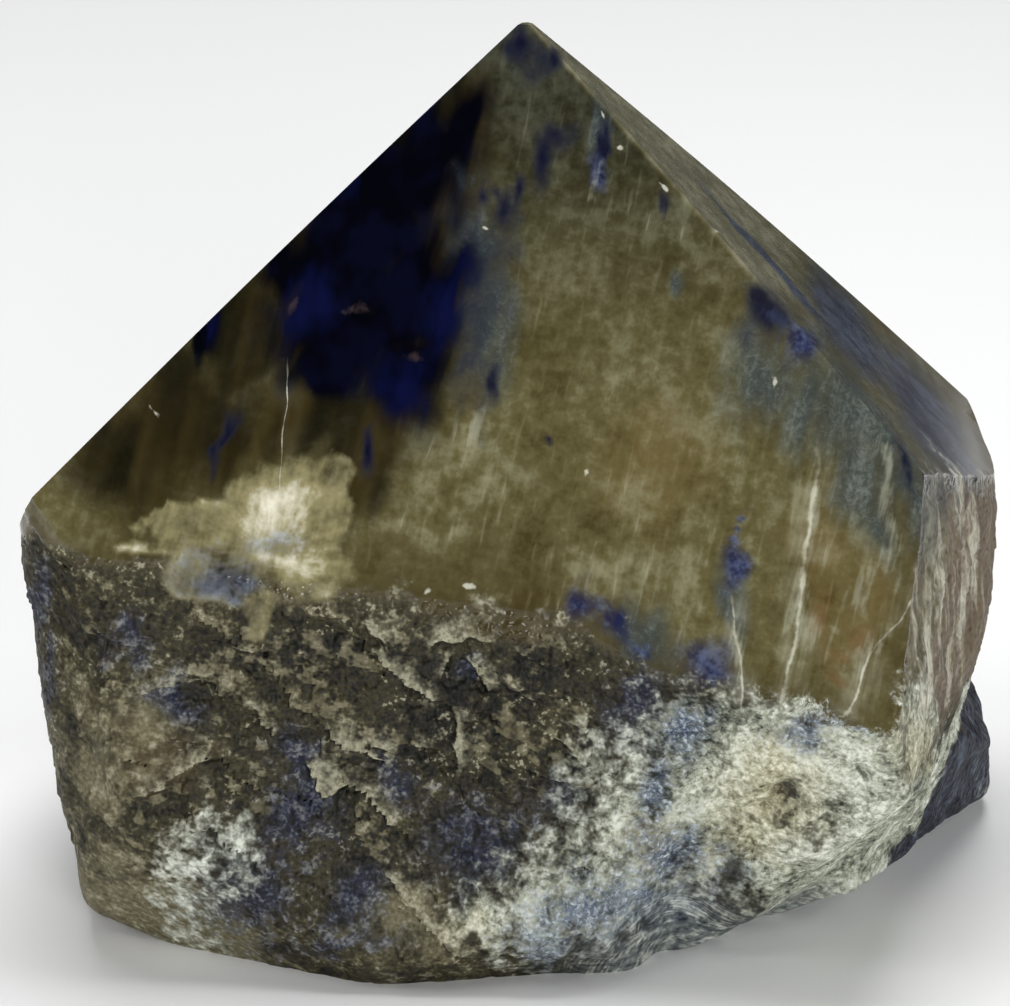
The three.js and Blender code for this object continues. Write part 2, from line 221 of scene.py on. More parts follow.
def body_and_shoulder(u):
    """Walls joined by a soft minimum, once for the body and once for the shoulder.
    The body's front turns from the break to the crust."""
    azimuth = azimuth_of(u)
    turn = rise(*FRONT_TURN, azimuth)
    front = wall_radius(BREAK_FACE, u) * (1 - turn) + wall_radius(CRUST_FACE, u) * turn
    front = np.where(np.abs(azimuth) > FRONT_END, FAR, front)
    body = soft_minimum([np.minimum(front, WALL_CAP)] + [wall_radius(w, u) for w in WALLS.values()])
    shoulder = soft_minimum([wall_radius(w, u) for w in SHOULDER.values()])
    return body, shoulder * rise(42, 60, azimuth) * (1 - rise(108, 150, azimuth))


def broken_radius(u):
    """The farther of body and shoulder, with a fillet where they meet."""
    body, shoulder = body_and_shoulder(u)
    return np.maximum(body, shoulder) + FILLET_RISE * np.exp(-np.abs(body - shoulder) / FILLET_REACH)


def shares(u):
    """How much there is of underside, crust, right flank, smooth corner and broken rest."""
    azimuth, elevation = azimuth_of(u), np.degrees(np.arcsin(np.clip(u[..., 2], -1, 1)))
    under = rise(-38, -48, elevation) * rise(0, 20, azimuth) * (1 - rise(90, 110, azimuth))
    crust = rise(8, 24, azimuth) * (1 - rise(52, 66, azimuth)) * (1 - under)
    flank = rise(50, 60, azimuth) * (1 - rise(95, 125, azimuth)) * (1 - under)
    corner = rise(-38, -50, azimuth) * (1 - rise(-75, -85, azimuth)) * rise(-26, -36, elevation)
    broken = (1 - crust) * (1 - under) * (1 - flank * 0.7) * (1 - corner * 0.8)
    return under, crust, flank, corner, broken


SHINGLE_AXES = np.array([[0.82, -0.55, 0.16], [0.10, 0.30, 0.95], [-0.57, -0.78, 0.27]])


def ridged(x):
    """A triangle wave from 0 to 1."""
    return np.abs(x - np.floor(x) - 0.5) * 2


def shingles(p, size, seed):
    """Scattered points own the surface round them. Each piece is a small plane that comes forward to its
    lower left and drops there to the next. Returns its height, from -0.6 to 0.6, and how pale it is:
    a chance of its own, for paler stone, times how near its raised front edge a place is, a painted
    highlight."""
    wandering = np.stack([noise(p, size * 0.4, seed + n) for n in (40, 41, 42)], -1)
    q = (p @ SHINGLE_AXES + 0.22 * size * wandering) / (size * 1.5, size, size)
    corner = np.floor(q)
    nearest = np.full(p.shape[:-1], 9.0)
    along, chance = np.zeros(p.shape[:-1]), np.zeros(p.shape[:-1])
    for dx in (-1, 0, 1):
        for dy in (-1, 0, 1):
            for dz in (-1, 0, 1):
                c = corner + np.array([dx, dy, dz])
                i, j, k = c[..., 0], c[..., 1], c[..., 2]
                jitter = np.stack([scatter(i, j, k, seed + n) for n in (0, 1, 2)], -1)
                away = q - c - jitter
                d = (away**2).sum(-1)
                lean = np.array([0, 1.0, 0]) + 1.1 * (jitter[..., ::-1] - 0.5)
                closer = d < nearest
                along = np.where(closer, (away * lean).sum(-1), along)
                chance = np.where(closer, scatter(i, j, k, seed + 3), chance)
                nearest = np.minimum(nearest, d)
    return np.clip(along, -0.6, 0.6), rise(0.45, 1.0, chance) * rise(-0.5, 0.5, along)


def edged_flakes(p, azimuth):
    """Each flake ends at a wavering line between two points: the surface drops across it and the flake
    fades behind it.
    Returns the height, how pale the palest flake is, as cream stone and a painted highlight strongest at
    its raised edge, and how far behind its edge a place is."""
    waver = 0.5 * noise(p, 2.6, 10) + 0.3 * noise(p, 1.1, 11) + 0.12 * noise(p, 0.6, 12)
    height, pale = np.zeros(p.shape[:-1]), np.zeros(p.shape[:-1])
    behind = np.full(p.shape[:-1], -1.0)
    front = 1 - rise(45, 62, np.abs(azimuth))
    for (x0, z0), (x1, z1), fade, depth, paleness in FLAKES:
        dx, dz = x1 - x0, z1 - z0
        length = math.hypot(dx, dz)
        x, z = p[..., 0] - x0, p[..., 2] - z0
        along = (x * dx + z * dz) / length**2
        across = (x * dz - z * dx) / length + waver
        within = rise(-0.25, 0.12, along) * (1 - rise(0.88, 1.25, along)) * front
        drop = rise(-0.1, 0.35, across)
        body = np.exp(-np.maximum(-across, 0) / fade)
        hollow = drop * np.exp(-np.maximum(across, 0) / 2.2)
        height = height + depth * within * (0.4 * body * (1 - drop) - 0.8 * hollow)
        share = paleness * within * body * (1 - rise(0.3, 1.0, across))
        behind = np.where(share > pale, -across, behind)
        pale = np.maximum(pale, share)
    return height, pale, np.clip(behind, -1, 1)


LAYERS_STACK = facing(33, -70)


def relief(p, u):
    """Height of the broken surface over its walls, with how pale its pieces and flakes are, partly a painted
    highlight on their raised edges, and how far behind a flake's edge a place is."""
    under, crust, flank, corner, broken = shares(u)
    azimuth = azimuth_of(u)
    height = noise(p, 17, 1) + 0.5 * noise(p, 8, 2) * (1 - 0.5 * corner)
    patch = rise(-0.4, 0.3, noise(p, 9, 5))
    flaky = broken * (1 - 0.65 * rise(-52, -70, azimuth))
    big, big_pale = shingles(p, 5.6, 50)
    middle, middle_pale = shingles(p, 2.5, 60)
    small, small_pale = shingles(p, 1.2, 70)
    height = height + 0.6 * big * flaky + 0.34 * middle * (0.35 + 0.65 * patch) * flaky
    height = height + 0.2 * small * (0.3 + 0.7 * patch) * flaky
    # pale pieces: partly paler stone, partly a painted highlight toward each raised front edge
    piece = np.max([0.5 * big_pale, 0.75 * middle_pale, small_pale * patch], 0) * flaky
    layer = p @ LAYERS_STACK / 2.4 + 0.5 * noise(p, 9, 7)
    height = height + 0.45 * (ridged(layer) - 0.5) * under
    thin_layer = p @ LAYERS_STACK / 0.8 + 0.9 * noise(p, 5, 26)
    height = height + 0.16 * (ridged(thin_layer) - 0.5) * under
    lumps = 0.5 * noise(p, 4.2, 8) + 0.24 * noise(p, 1.7, 27) + 0.12 * noise(p, 0.9, 28)
    height = height + lumps * crust
    column = radians(azimuth) * 8 + 0.9 * noise(p, 9, 9)
    height = height + 0.35 * (ridged(column) - 0.5) * flank
    height = height + 0.12 * (ridged(column * 3.3 + noise(p, 3, 29)) - 0.5) * flank
    grain = 0.09 * noise(p, 1.3, 30) + 0.06 * noise(p, 0.75, 31)
    height = height + grain * (0.35 + 0.65 * broken) * (1 - 0.7 * corner)
    edge_height, pale, behind = edged_flakes(p, azimuth)
    height = height + edge_height * (1 - crust)
    wandering = p + 0.35 * noise(p, 1.2, 32)[..., None]
    for place, radius, depth in PITS.values():
        q = np.linalg.norm(wandering - np.array(place), axis=-1) / radius
        height = height - depth * np.exp(-q * q * 1.5)
    wear = 0.35 + 0.65 * rise(0, 5, p[..., 2])
    return height * wear, {"piece": piece, "flake": pale, "behind": behind}


def rough_radius(u):
    """The walls with their relief, which settles where they come close to a facet."""
    r = broken_radius(u)
    height, signs = relief(CENTRE + u * r[..., None], u)
    gap = np.abs(np.minimum(polished_radius(u), FACET_CAP) - r)
    settled = 0.3 + 0.7 * rise(0.2, 3.0, gap)
    signs["swell"] = height * settled
    return r + signs["swell"], signs


def resting_radius(u):
    return np.where(u[..., 2] < -1e-3, CENTRE[2] / np.maximum(-u[..., 2], 1e-3), FAR)


def ridge_azimuths():
    """Where neighbouring facets meet: the azimuth of the cross product of their normals."""
    order = sorted(FACETS.values())
    found = []
    for (a0, t0), (a1, t1) in zip(order, order[1:] + order[:1]):
        line = np.cross(facing(a0, 90 - t0), facing(a1, 90 - t1))
        line = -line if line[2] > 0 else line
        found.append(math.atan2(line[0], -line[1]))
    return found


def crossing(azimuth, gap, low, high):
    """Polar angle at which gap turns positive, for every azimuth, by halving the range."""
    low, high = np.full(azimuth.shape, radians(low)), np.full(azimuth.shape, radians(high))
    for _ in range(30):
        middle = (low + high) / 2
        under = gap(facing(np.degrees(azimuth), 90 - np.degrees(middle))) < 0
        low, high = np.where(under, middle, low), np.where(under, high, middle)
    return (low + high) / 2


# -------------------------------- markings of the stone


def face_axes(azimuth, tilt, lean=0):
    """Axes of a facet as columns: across it, up it and out of it; lean turns the first two to the right."""
    a, s, c = radians(azimuth), math.sin(math.radians(lean)), math.cos(math.radians(lean))
    out, across = facing(azimuth, 90 - tilt), np.array([np.cos(a), np.sin(a), 0])
    up = np.cross(out, across)
    return np.stack([across * c - up * s, up * c + across * s, out], -1)


FRONT, FLANK = face_axes(*FACETS["front"]), face_axes(60, 86)
FIBRES = face_axes(*FACETS["front"], 13)
TURNED = face_axes(37, 24, 31)

SIGHT_START = 45.0


def on_stone(places, view="front"):
    """Places on the stone from two numbers each: x and z as seen from the front, or y and z from the right.
    The third is found by halving along the line of sight, which ends on the facet's plane if it misses
    the walls."""
    level, z = np.array(places, float).T
    azimuth, tilt = FACETS[view]
    toward, across, out = facing(azimuth, 0), face_axes(azimuth, tilt)[:, 0], facing(azimuth, 90 - tilt)
    start = level[:, None] * across + z[:, None] * (0, 0, 1)
    near, far = np.zeros(len(z)), np.full(len(z), SIGHT_START)
    for _ in range(24):
        middle = (near + far) / 2
        away = start + middle[:, None] * toward - CENTRE
        reach = np.linalg.norm(away, axis=-1)
        outside = reach > broken_radius(away / reach[:, None])
        near, far = np.where(outside, near, middle), np.where(outside, middle, far)
    facet = (APEX - start) @ out / (toward @ out)
    return start + np.where(near < 1, facet, np.minimum(near, facet))[:, None] * toward


# patch: x and z of its middle as seen from the front, its half width across the front facet, its half
# height up it, and how many degrees it leans to the right if it isn't upright
DEEP_BLUE = [
    (-4.6, 66.1, 1.6, 3.2, 5), (-6.8, 64.3, 3.6, 2.8, 30), (-9.4, 61.8, 5.0, 3.6, 40),
    (-12.6, 58.9, 5.8, 4.0, 45), (-14.6, 55.3, 5.2, 4.2, 30), (-14.2, 51.4, 5.0, 4.2, 5),
    (-15.5, 48.6, 3.1, 2.3), (-9.5, 53.1, 3.3, 5.0, 15), (-9.1, 48.3, 2.7, 4.2, 20),
    (-5.9, 53.1, 1.8, 4.4, 22), (-18.5, 55.7, 3.2, 1.8, 45), (-24.0, 51.6, 1.0, 2.4, 15),
    (-25.3, 49.7, 0.6, 1.8, 15),
]
ROYAL = [
    (-5.3, 53.1, 2.2, 5.4, 20), (-9.4, 47.0, 2.3, 3.4, 10), (-16.1, 53.1, 2.7, 3.3, 10),
    (-23.8, 51.5, 0.9, 2.2, 15), (-13.8, 60.6, 2.4, 1.3, 40),
]
GLOOM = [
    (-15.3, 45.5, 7.6, 3.2), (-30.2, 42.6, 6.0, 4.6, 35), (-26.2, 45.0, 6.6, 5.2, 40),
    (-21.6, 51.8, 4.8, 4.8, 40), (-5.2, 61.1, 2.4, 3.6, 20), (-13.7, 40.9, 3.1, 3.7),
    (-17.6, 45.0, 5.2, 2.1), (-12.0, 43.7, 3.1, 2.9), (-23.4, 43.7, 3.1, 2.2),
    (-21.6, 48.9, 2.3, 2.7, 30),
]
NAVY = [
    (-0.4, 70.8, 1.1, 1.3), (1.5, 69.7, 1.9, 1.0, -35), (1.5, 62.8, 0.7, 2.8, 12),
    (2.6, 64.1, 1.3, 1.3), (6.1, 63.6, 0.6, 2.5, 10), (-1.2, 59.1, 1.0, 1.5), (-0.4, 60.6, 0.6, 1.2),
    (-2.7, 60.3, 0.8, 0.7), (10.7, 59.7, 0.4, 1.4, 5), (-2.9, 47.5, 0.6, 1.6, 5), (1.5, 43.8, 0.4, 0.6),
    (-23.5, 43.3, 0.5, 2.3, 16), (-12.1, 43.0, 0.5, 1.9, 8), (19.3, 52.1, 2.2, 2.8, 10),
    (18.5, 53.3, 1.5, 0.8), (29.5, 41.9, 0.6, 2.9, -15), (32.0, 39.1, 0.7, 0.6),
]
DIM_NAVY = [
    (-3.1, 53.1, 2.0, 5.4, 15), (-5.0, 58.0, 1.7, 3.3, 15), (-6.0, 61.3, 1.6, 2.1, 20),
    (-3.6, 46.4, 1.2, 1.6), (-9.0, 60.7, 2.4, 4.1, 20),
]
BLUE = [
    (4.0, 33.5, 1.0, 1.7, -20), (6.2, 31.2, 1.3, 1.9, -35), (8.8, 29.4, 0.9, 1.2, -35),
    (14.5, 28.8, 1.9, 2.0, 10), (13.0, 27.0, 1.4, 1.1), (16.8, 35.6, 0.6, 2.1, 5),
    (16.8, 37.6, 0.5, 0.8), (6.3, 61.7, 0.6, 1.5, 8), (20.6, 50.5, 1.2, 1.6, 20),
]
BLUE_HAZE = [
    (12.3, 54.8, 0.7, 1.2), (21.4, 46.3, 2.0, 4.8, 5), (25.8, 40.2, 1.9, 5.4, -10),
    (27.6, 37.7, 1.4, 4.4), (25.3, 46.4, 3.4, 5.0, -10), (27.6, 43.0, 3.2, 5.6, -20),
    (30.3, 40.5, 2.2, 4.6, -15), (23.4, 51.6, 2.2, 3.0, -10), (-3.2, 56.6, 2.6, 3.0, 15),
    (-2.4, 51.1, 2.4, 5.4, 10), (-5.0, 62.0, 1.6, 1.4), (8.8, 30.3, 3.1, 3.1, -30),
    (13.5, 25.8, 3.2, 1.8), (5.9, 65.5, 1.0, 2.4), (16.6, 33.0, 0.9, 4.0, 5), (17.7, 47.7, 2.7, 4.5),
    (26.1, 44.4, 4.2, 7.0, -25),
]
# the same on the right facet, with y and z as seen from the right
SIDE_HAZE = [
    (1.0, 46.4, 12.0, 6.0), (-2.0, 39.3, 14.0, 7.0), (-3.0, 52.9, 1.6, 9.0, 14),
]
SPECKLED_BLUE = [
    (-18.5, 14.6, 3.5, 4.4), (-22.8, 8.6, 5.6, 5.4, 10), (-17.7, 19.6, 1.6, 3.3, -30),
    (-3.6, 12.5, 5.2, 4.2), (-9.9, 18.2, 2.4, 2.2), (8.9, 23.7, 3.5, 3.6), (-27.8, 24.4, 3.1, 1.6),
    (-37.7, 24.4, 0.8, 2.9), (-13.1, 8.1, 2.4, 2.5), (-13.9, 4.0, 4.5, 1.5, 8), (2.7, 16.7, 3.1, 3.3),
    (-30.9, 29.1, 2.4, 2.5), (-38.6, 30.9, 1.0, 2.2), (-4.0, 28.2, 1.2, 1.2),
]
DARK_BREAK = [
    (-6.7, 23.2, 4.7, 4.1), (1.1, 26.6, 4.7, 3.3), (-13.8, 9.8, 3.2, 4.2), (-2.0, 19.2, 4.7, 2.5),
    (-17.6, 29.4, 4.7, 2.5), (4.2, 20.1, 3.1, 3.4),
]
# bruise piece: a patch, then how pale and how blue it is, how softly it ends and how solid it is
BRUISE = [
    (-19.9, 39.77, 3.5, 2.6, 0, 0.38, 0.0, 0.6, 0.8),
    (-17.6, 41.31, 1.9, 2.2, 24, 0.24, 0.0, 0.3, 0.55),
    (-20.2, 40.98, 1.5, 1.9, 0, 0.34, 0.0, 0.5, 0.6),
    (-22.6, 40.14, 1.2, 1.5, -20, 0.36, 0.0, 0.25, 0.5),
    (-25.8, 38.35, 4.4, 1.7, -4, 0.26, 0.1, 0.12, 0.85),
    (-27.0, 36.37, 5.4, 0.6, -2, 0.44, 0.0, 0.5, 0.7),
    (-15.4, 41.09, 1.7, 2.6, 25, 0.16, 0.15, 0.25, 0.8),
    (-15.1, 38.23, 2.1, 2.8, 0, 0.32, 0.0, 0.3, 0.8),
    (-24.1, 34.97, 3.6, 2.3, -10, 0.22, 0.35, 0.2, 0.9),
    (-22.8, 33.56, 1.8, 1.1, 0, 0.06, 0.8, 0.7, 0.8), (-20.3, 31.51, 1.6, 1.6, 0, 0.3, 0.0, 0.25, 0.85),
    (-16.3, 34.53, 3.4, 1.9, 0, 0.36, 0.0, 0.35, 0.8), (-19.7, 38.54, 3.5, 3.0, 0, 0.47, 0.0, 0.9, 0.8),
    (-19.9, 36.79, 2.8, 1.1, 0, 0.5, 0.6, 0.7, 0.75), (-18.3, 34.77, 2.1, 1.1, 0, 0.7, 0.0, 0.6, 0.8),
    (-20.5, 35.63, 1.2, 0.7, 0, 0.66, 0.1, 0.6, 0.75), (-19.2, 39.24, 1.9, 1.5, 0, 0.8, 0.0, 0.9, 0.8),
    (-21.3, 38.16, 1.9, 0.9, -20, 0.78, 0.0, 0.8, 0.75),
    (-30.1, 36.61, 1.2, 0.6, 0, 0.74, 0.0, 0.5, 0.8),
]
BRUISE_HEART = (-19.9, 35.9)
WORN_CORNER = [(-37.6, 38.5, 5.0, 3.0)]
# painted shade: dark spots in and round the pits, as patches
PIT_SHADE_SPOTS = [
    (7.7, 3.8, 0.9, 0.6), (9.5, 4.2, 0.6, 0.5), (-4.6, 11.2, 0.5, 0.5), (20.9, 17.6, 1.5, 0.6, 65),
    (26.3, 20.4, 0.8, 0.3, 50), (1.9, 7.5, 1.0, 0.22, 85), (16.4, 9.1, 1.0, 0.6, 60),
    (-22.6, 33.3, 0.3, 0.35),
]
CRUST = [
    (19.7, 20.9, 8.7, 5.7), (25.9, 20.5, 8.0, 5.1), (13.7, 16.2, 6.3, 6.6), (10.2, 12.9, 4.3, 6.9),
    (7.5, 8.4, 7.7, 4.3), (1.6, 7.2, 3.4, 3.0), (-3.8, 5.8, 2.8, 2.0, 10), (21.7, 25.9, 6.8, 2.2, -8),
    (13.5, 23.2, 4.0, 2.6), (31.0, 20.1, 4.0, 4.6), (18.5, 11.5, 6.3, 3.4, 20),
]
CHALK_FRINGE = [
    (-25.0, 11.9, 3.6, 2.4), (-26.2, 6.4, 2.4, 3.4), (-2.0, 9.7, 3.2, 2.8), (5.0, 17.8, 3.0, 3.6),
]
CRUST_LIP = [
    (21.1, 27.0, 7.7, 2.5, -5), (14.6, 26.6, 3.1, 2.4),
]
CRUST_BLUE = [
    (12.2, 11.1, 4.0, 2.4), (9.1, 6.8, 6.4, 2.6, 10), (5.1, 7.6, 5.4, 1.9, -10),
    (9.1, 3.9, 6.1, 1.6, -12), (14.0, 5.2, 4.0, 1.4, -20), (2.7, 4.1, 5.0, 1.9, -5),
    (23.4, 24.2, 3.9, 1.2, -10), (12.7, 22.8, 1.9, 2.1), (10.5, 18.2, 1.4, 3.0), (26.9, 26.4, 1.9, 1.3),
]
CRUST_CREAM = [
    (19.1, 16.7, 4.8, 4.0), (30.9, 20.1, 4.0, 2.4), (10.6, 12.3, 2.5, 2.1), (16.9, 13.4, 3.2, 2.2),
    (-6.4, 4.8, 3.6, 1.9),
]
HONEY = [
    (25.9, 32.3, 3.4, 4.4), (22.8, 36.3, 2.3, 4.0), (9.7, 41.7, 4.7, 4.8), (-29.4, 46.3, 4.8, 3.2, 40),
    (18.2, 15.4, 1.8, 0.9, 40), (-29.0, 19.7, 5.0, 3.4),
]
TAN = [
    (-34.0, 17.2, 3.5, 5.3), (-33.4, 8.7, 3.2, 5.0), (-29.4, 22.4, 3.9, 1.8), (-9.9, 5.6, 4.3, 2.6),
]
AMBER = [
    (25.8, 29.4, 2.0, 1.3), (24.6, 27.0, 1.1, 0.9, 20), (23.2, 33.0, 0.8, 2.1, 5),
    (35.0, 29.7, 0.8, 5.0), (16.1, 9.1, 0.45, 0.4), (-9.0, 23.5, 0.8, 0.5),
]
ROSY_SPOTS = [
    (-13.0, 53.4, 0.7, 0.6), (-8.8, 49.6, 0.9, 0.7, 30), (-17.6, 52.9, 0.5, 0.4),
]
VEILS = [
    (-3.6, 58.2, 1.6, 2.1), (-7.1, 43.6, 4.2, 3.2, 20), (-3.6, 41.0, 3.4, 2.5), (4.6, 35.7, 4.7, 2.7),
    (8.0, 39.5, 2.6, 3.0, 10), (13.5, 35.7, 2.3, 4.7, 8), (22.9, 39.7, 1.9, 7.1, 5),
    (26.7, 35.6, 1.9, 4.8, -20), (-36.2, 36.5, 4.8, 1.2), (-7.5, 37.3, 5.4, 1.1),
    (12.6, 58.8, 2.7, 2.5),
]
MILK = [
    (22.2, 38.4, 0.7, 3.0, 3), (21.4, 31.4, 0.8, 3.4, 5), (16.4, 29.7, 0.5, 2.2),
    (26.8, 29.8, 0.8, 2.6, 48), (26.0, 33.6, 0.6, 3.6, 30), (28.3, 38.3, 0.5, 3.8, -6),
    (31.6, 35.3, 0.7, 5.0, -4), (-3.8, 44.1, 0.5, 1.6, 5), (5.4, 60.8, 0.4, 1.6, 10),
    (27.9, 42.2, 0.4, 2.6, -14),
]
WHITE_CHIPS = [
    (6.0, 65.8, 0.12, 0.5, -25), (7.6, 63.6, 0.22, 0.22), (10.9, 61.0, 0.14, 0.5, -35),
    (19.4, 47.5, 0.24, 0.7, 25), (27.7, 45.1, 0.16, 0.4, -40), (-29.2, 45.5, 0.6, 0.16, 45),
    (-3.2, 57.9, 0.2, 0.24), (4.7, 41.7, 0.2, 0.26),
    (-13.9, 65.0, 0.16, 0.5, 20), (-8.0, 33.4, 0.6, 0.25, -30), (-4.4, 33.8, 0.5, 0.2, -10),
    (15.1, 57.9, 0.14, 0.2),
]

# crack: x and z of its points as seen from the front, and its half width
CRACKS = [
    ([(22.9, 43.4), (22.1, 39.7), (21.7, 35.0), (21.4, 31.6), (20.8, 29.0), (19.7, 26.0)], 0.18),
    ([(16.2, 33.6), (16.4, 29.7), (16.6, 25.8)], 0.14),
    ([(31.0, 32.8), (29.4, 32.1), (27.4, 30.3), (26.0, 27.7), (24.6, 25.4)], 0.12),
    ([(-18.8, 48.8), (-18.8, 45.0), (-18.9, 40.0)], 0.05),
]
# y and z as seen from the right
FLANK_EDGE = [(-14.8, 34.1), (-17.8, 29.6), (-21.6, 26.0), (-25.6, 23.0), (-28.0, 20.4)]
# band: y and z, half width along the flank, half depth into it, and its turn seen from above
FLANK_BANDS = [
    (-17.6, 30.6, 1.5, 4.6, 16), (-21.8, 26.4, 1.7, 4.0, 22), (-25.4, 22.4, 1.6, 3.6, 24),
    (-6.4, 30.6, 1.2, 5.4, 6), (-10.0, 25.6, 1.3, 4.6, 12), (-13.6, 21.6, 1.2, 3.0, 16),
    (-9.6, 35.0, 1.6, 3.0),
]


def patch_depths(p, rows, depth=10.0, facet="front", axes=None):
    """For each patch 1 in its middle, 0 at its rim and less outside."""
    middles = on_stone([row[:2] for row in rows], facet)
    turns = [face_axes(*(axes or FACETS[facet]), *row[4:5]) for row in rows]
    return [
        1 - np.linalg.norm((p - middle) @ turn / (row[2], row[3], depth), axis=-1)
        for middle, turn, row in zip(middles, turns, rows)
    ]


def inside(p, rows, depth=10.0, facet="front", axes=None):
    """The patches melted into one field, 1 in the middles and 0 at the rims."""
    return np.maximum(-soft_minimum([-d for d in patch_depths(p, rows, depth, facet, axes)], 0.08), -3)


def nearest_spot(p, rows, reach=1.0):
    """The place in half widths from the middle of the nearest small spot. Its third number grows past
    the reach."""
    nearest, place = np.full(p.shape[:-1], FAR), np.zeros(p.shape)
    middles = on_stone([row[:2] for row in rows])
    for middle, (_, _, width, height, *lean) in zip(middles, rows):
        q = (p - middle) @ face_axes(*FACETS["front"], *lean)
        away = np.linalg.norm(q, axis=-1)
        closer = (away < nearest)[..., None]
        place = np.where(closer, q / (width, height, 4.0), place)
        nearest = np.minimum(nearest, away)
    place[..., 2] = 9 * rise(reach * 0.7, reach * 1.3, nearest)
    return place


CRACK_REACH = 4.0
FULL_STRENGTH_WIDTH = 0.12


def nearest_crack(p, cracks, axes):
    """How far to the side of the nearest crack a place lies, in half widths, how near that is, from 0 to 1,
    and how near in a wider band. A crack is a curve of the place across its facet against the place up it."""
    seen = p @ axes
    nearest, aside = np.full(p.shape[:-1], CRACK_REACH), np.full(p.shape[:-1], 9.0)
    end, strength = np.zeros(p.shape[:-1]), np.zeros(p.shape[:-1])
    for points, width in cracks:
        across, up, _ = (on_stone(points) @ axes).T
        order = np.argsort(up)
        across, up = across[order], up[order]
        offset = seen[..., 0] - np.interp(seen[..., 1], up, across)
        ended = rise(up[0] - 0.6, up[0] + 0.9, seen[..., 1])
        ended = ended * (1 - rise(up[-1] - 2.5, up[-1] + 0.3, seen[..., 1]))
        closer = np.where(ended > 0, np.abs(offset), CRACK_REACH) < nearest
        nearest = np.where(closer, np.abs(offset), nearest)
        aside, end = np.where(closer, offset / width, aside), np.where(closer, ended, end)
        strength = np.where(closer, min(1, (width / FULL_STRENGTH_WIDTH) ** 2), strength)
    near, around = end * (1 - rise(0.7, 1.3, nearest)), end * strength * (1 - rise(0, 2, nearest))
    return np.stack([np.clip(aside, -12, 12), near, around], -1)


def bruise_pieces(p):
    """Cracked pieces laid over each other, each with a paler rim: how solid, pale and blue they are."""
    solid, pale, blue = np.zeros(p.shape[:-1]), np.full(p.shape[:-1], 0.3), np.zeros(p.shape[:-1])
    depths = patch_depths(p, BRUISE, 8)
    for (*_, paleness, blueness, softness, share), depth in zip(BRUISE, depths):
        cover = share * rise(-softness, softness, depth)
        rim = 0.25 * np.exp(-(((depth - 0.08) / 0.12) ** 2)) * (softness < 0.3)
        solid = solid + (1 - solid) * cover
        pale = pale + (paleness + rim - pale) * cover
        blue = blue + (blueness - blue) * cover
    return 1.4 * solid - 0.4, pale, blue


def shaken(p, size, seed):
    """Three noises as a shift of place."""
    return np.stack([noise(p, size, seed + n) for n in (0, 1, 2)], -1)


FRONT_FIBRES, SIDE_DEPTH, DEEP, SHALLOW = np.array([1.5, 9.0, 4.0]), 6, 14, 6
SKIRT_TOP, SKIRT_END = 17, 94
SHOULDER_LEFT, SHOULDER_START = 29.7, 86


